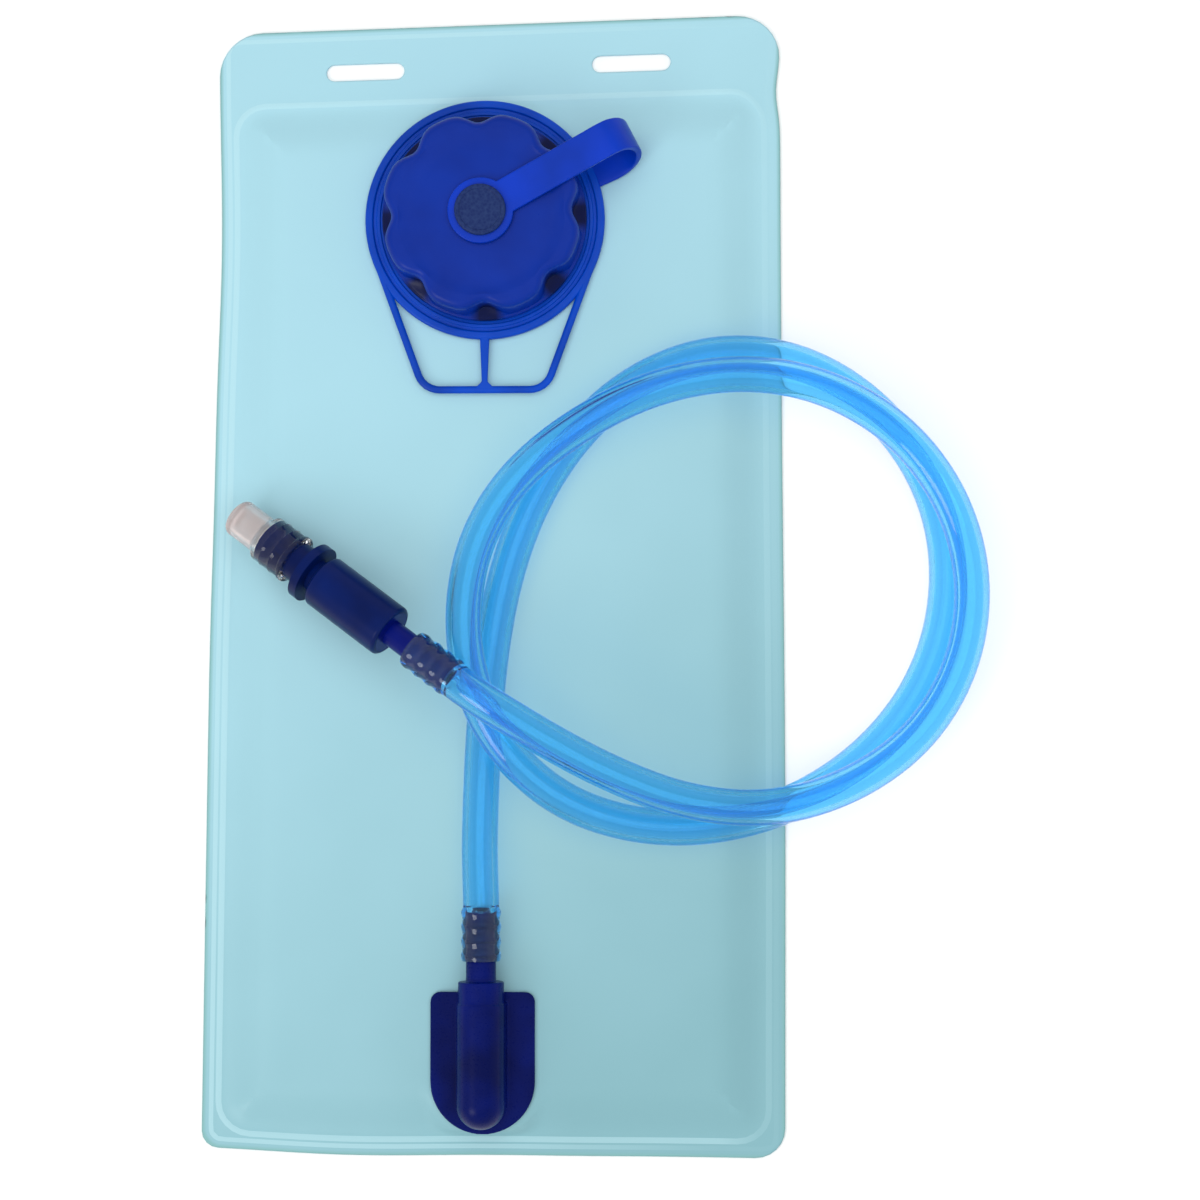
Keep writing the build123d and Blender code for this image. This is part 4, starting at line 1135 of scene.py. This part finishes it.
class BLADDER_OT_valve(bpy.types.Operator):
    """Makes the bite valve's sheath and body, and finishes its stem and seals"""
    bl_idname = "bladder.valve"
    bl_label = "Bite valve"

    def execute(self, context):
        settings = context.scene.bladder_valve
        across = Vector((0, 0, 1)).cross(OUTWARD).normalized()
        turned_to = Matrix((across, across.cross(OUTWARD), -OUTWARD)).transposed()
        at_tip = Matrix.Translation(TIP) @ turned_to.to_4x4()
        navy = soft_plastic("moulded acetal, navy", tuple(settings.colour), linear("#001146"), 0.3, 0.15)
        sheath = turned("bite_tip", [
            (0, 0, 0), (6.0, 0, 2.0), (6.0, 11.4, 1.2), (7.5, 12.8, 1.0), (7.5, 15.8, 0), (7.75, 16.4, 0.3),
            (7.5, 17.0, 0), (7.5, 19.4, 0), (7.75, 20.0, 0.3), (7.5, 20.6, 0), (7.5, 23.0, 0.3),
            (7.9, 23.5, 0.3), (7.9, 24.7, 0.4),
            (5.35, 24.7, 0.2), (5.35, 13.3, 0.3), (4.0, 13.3, 0.3), (4.0, 2.0, 0.8), (0, 2.0, 0),
        ], clear_silicone("clear silicone", tuple(settings.sheath), 1.0), at_tip, around=96)
        blade = [(x, y, z) for x in (-3.25, 3.25) for y in (-0.2, 0.2) for z in (-1.0, 2.4)]
        quads = [(0, 1, 3, 2), (4, 6, 7, 5), (0, 4, 5, 1), (2, 3, 7, 6), (0, 2, 6, 4), (1, 5, 7, 3)]
        knife = new_object("slit", mesh_from("slit", [Vector(p) * MM for p in blade], quads))
        knife.data.transform(at_tip)
        outward(knife)
        modify(sheath, "slit", "BOOLEAN", object=knife, solver="EXACT")
        settle(sheath)
        bpy.data.objects.remove(knife)
        paint(sheath, sheath.data.materials[0], clear_silicone("milky silicone", tuple(settings.tip), 0.7))
        for polygon in sheath.data.polygons:
            polygon.material_index = int((TIP - polygon.center).dot(OUTWARD) < settings.milky)
        belongs(sheath, "mouthpiece", "clear_silicone", "bite_sheath")

        body = turned("valve_barrel", [
            (5.4, 35.4, 0.2), (8.35, 35.4, 1.2), (8.35, 63.4, 1.2), (7.0, 63.4, 0.2),
            (7.0, 60.0, 0), (6.4, 60.0, 0), (6.4, 37.6, 0), (5.4, 37.6, 0),
        ], navy, at_tip, around=96)
        belongs(body, "bladder", "valve_navy", "valve_body")
        stem = dress("valve_stem", navy)
        blue = soft_plastic("moulded acetal, blue", tuple(settings.barb), linear("#000a58"), 0.3, 0.15)
        barb = dress("valve_barb", blue)
        rubber = soft_plastic("nitrile rubber", linear("#15171a"), linear("#0e0f12"), 0.6)
        seals = [dress(node, rubber) for node in ("stem_seal", "nose_seal")]
        [tuple(p) for p in route_points()]
        return {"FINISHED"}


class BLADDER_PT_panel(bpy.types.Panel):
    """Lists what makes the bladder"""
    bl_label = "Hydration bladder"
    bl_idname = "BLADDER_PT_panel"
    bl_space_type = "VIEW_3D"
    bl_region_type = "UI"
    bl_category = "Bladder"

    def draw(self, context):
        for name in STEPS:
            self.layout.operator(f"bladder.{name}")


STEPS = ("stage", "hose", "films", "strap", "cap", "ring", "outlet", "valve")
SETTINGS = {
    "bladder_stage": StageSettings,
    "bladder_hose": HoseSettings,
    "bladder_film": FilmSettings,
    "bladder_strap": StrapSettings,
    "bladder_cap": CapSettings,
    "bladder_outlet": OutletSettings,
    "bladder_valve": ValveSettings,
}
CLASSES = (
    *SETTINGS.values(),
    BLADDER_OT_stage,
    BLADDER_OT_hose,
    BLADDER_OT_films,
    BLADDER_OT_strap,
    BLADDER_OT_cap,
    BLADDER_OT_ring,
    BLADDER_OT_outlet,
    BLADDER_OT_valve,
    BLADDER_PT_panel,
)


def register():
    for cls in CLASSES:
        bpy.utils.register_class(cls)
    for name, kind in SETTINGS.items():
        setattr(bpy.types.Scene, name, PointerProperty(type=kind))


def unregister():
    for name in SETTINGS:
        delattr(bpy.types.Scene, name)
    for cls in reversed(CLASSES):
        bpy.utils.unregister_class(cls)


def main():
    register()
    for name in STEPS:
        getattr(bpy.ops.bladder, name)()


if __name__ == "__main__":
    main()
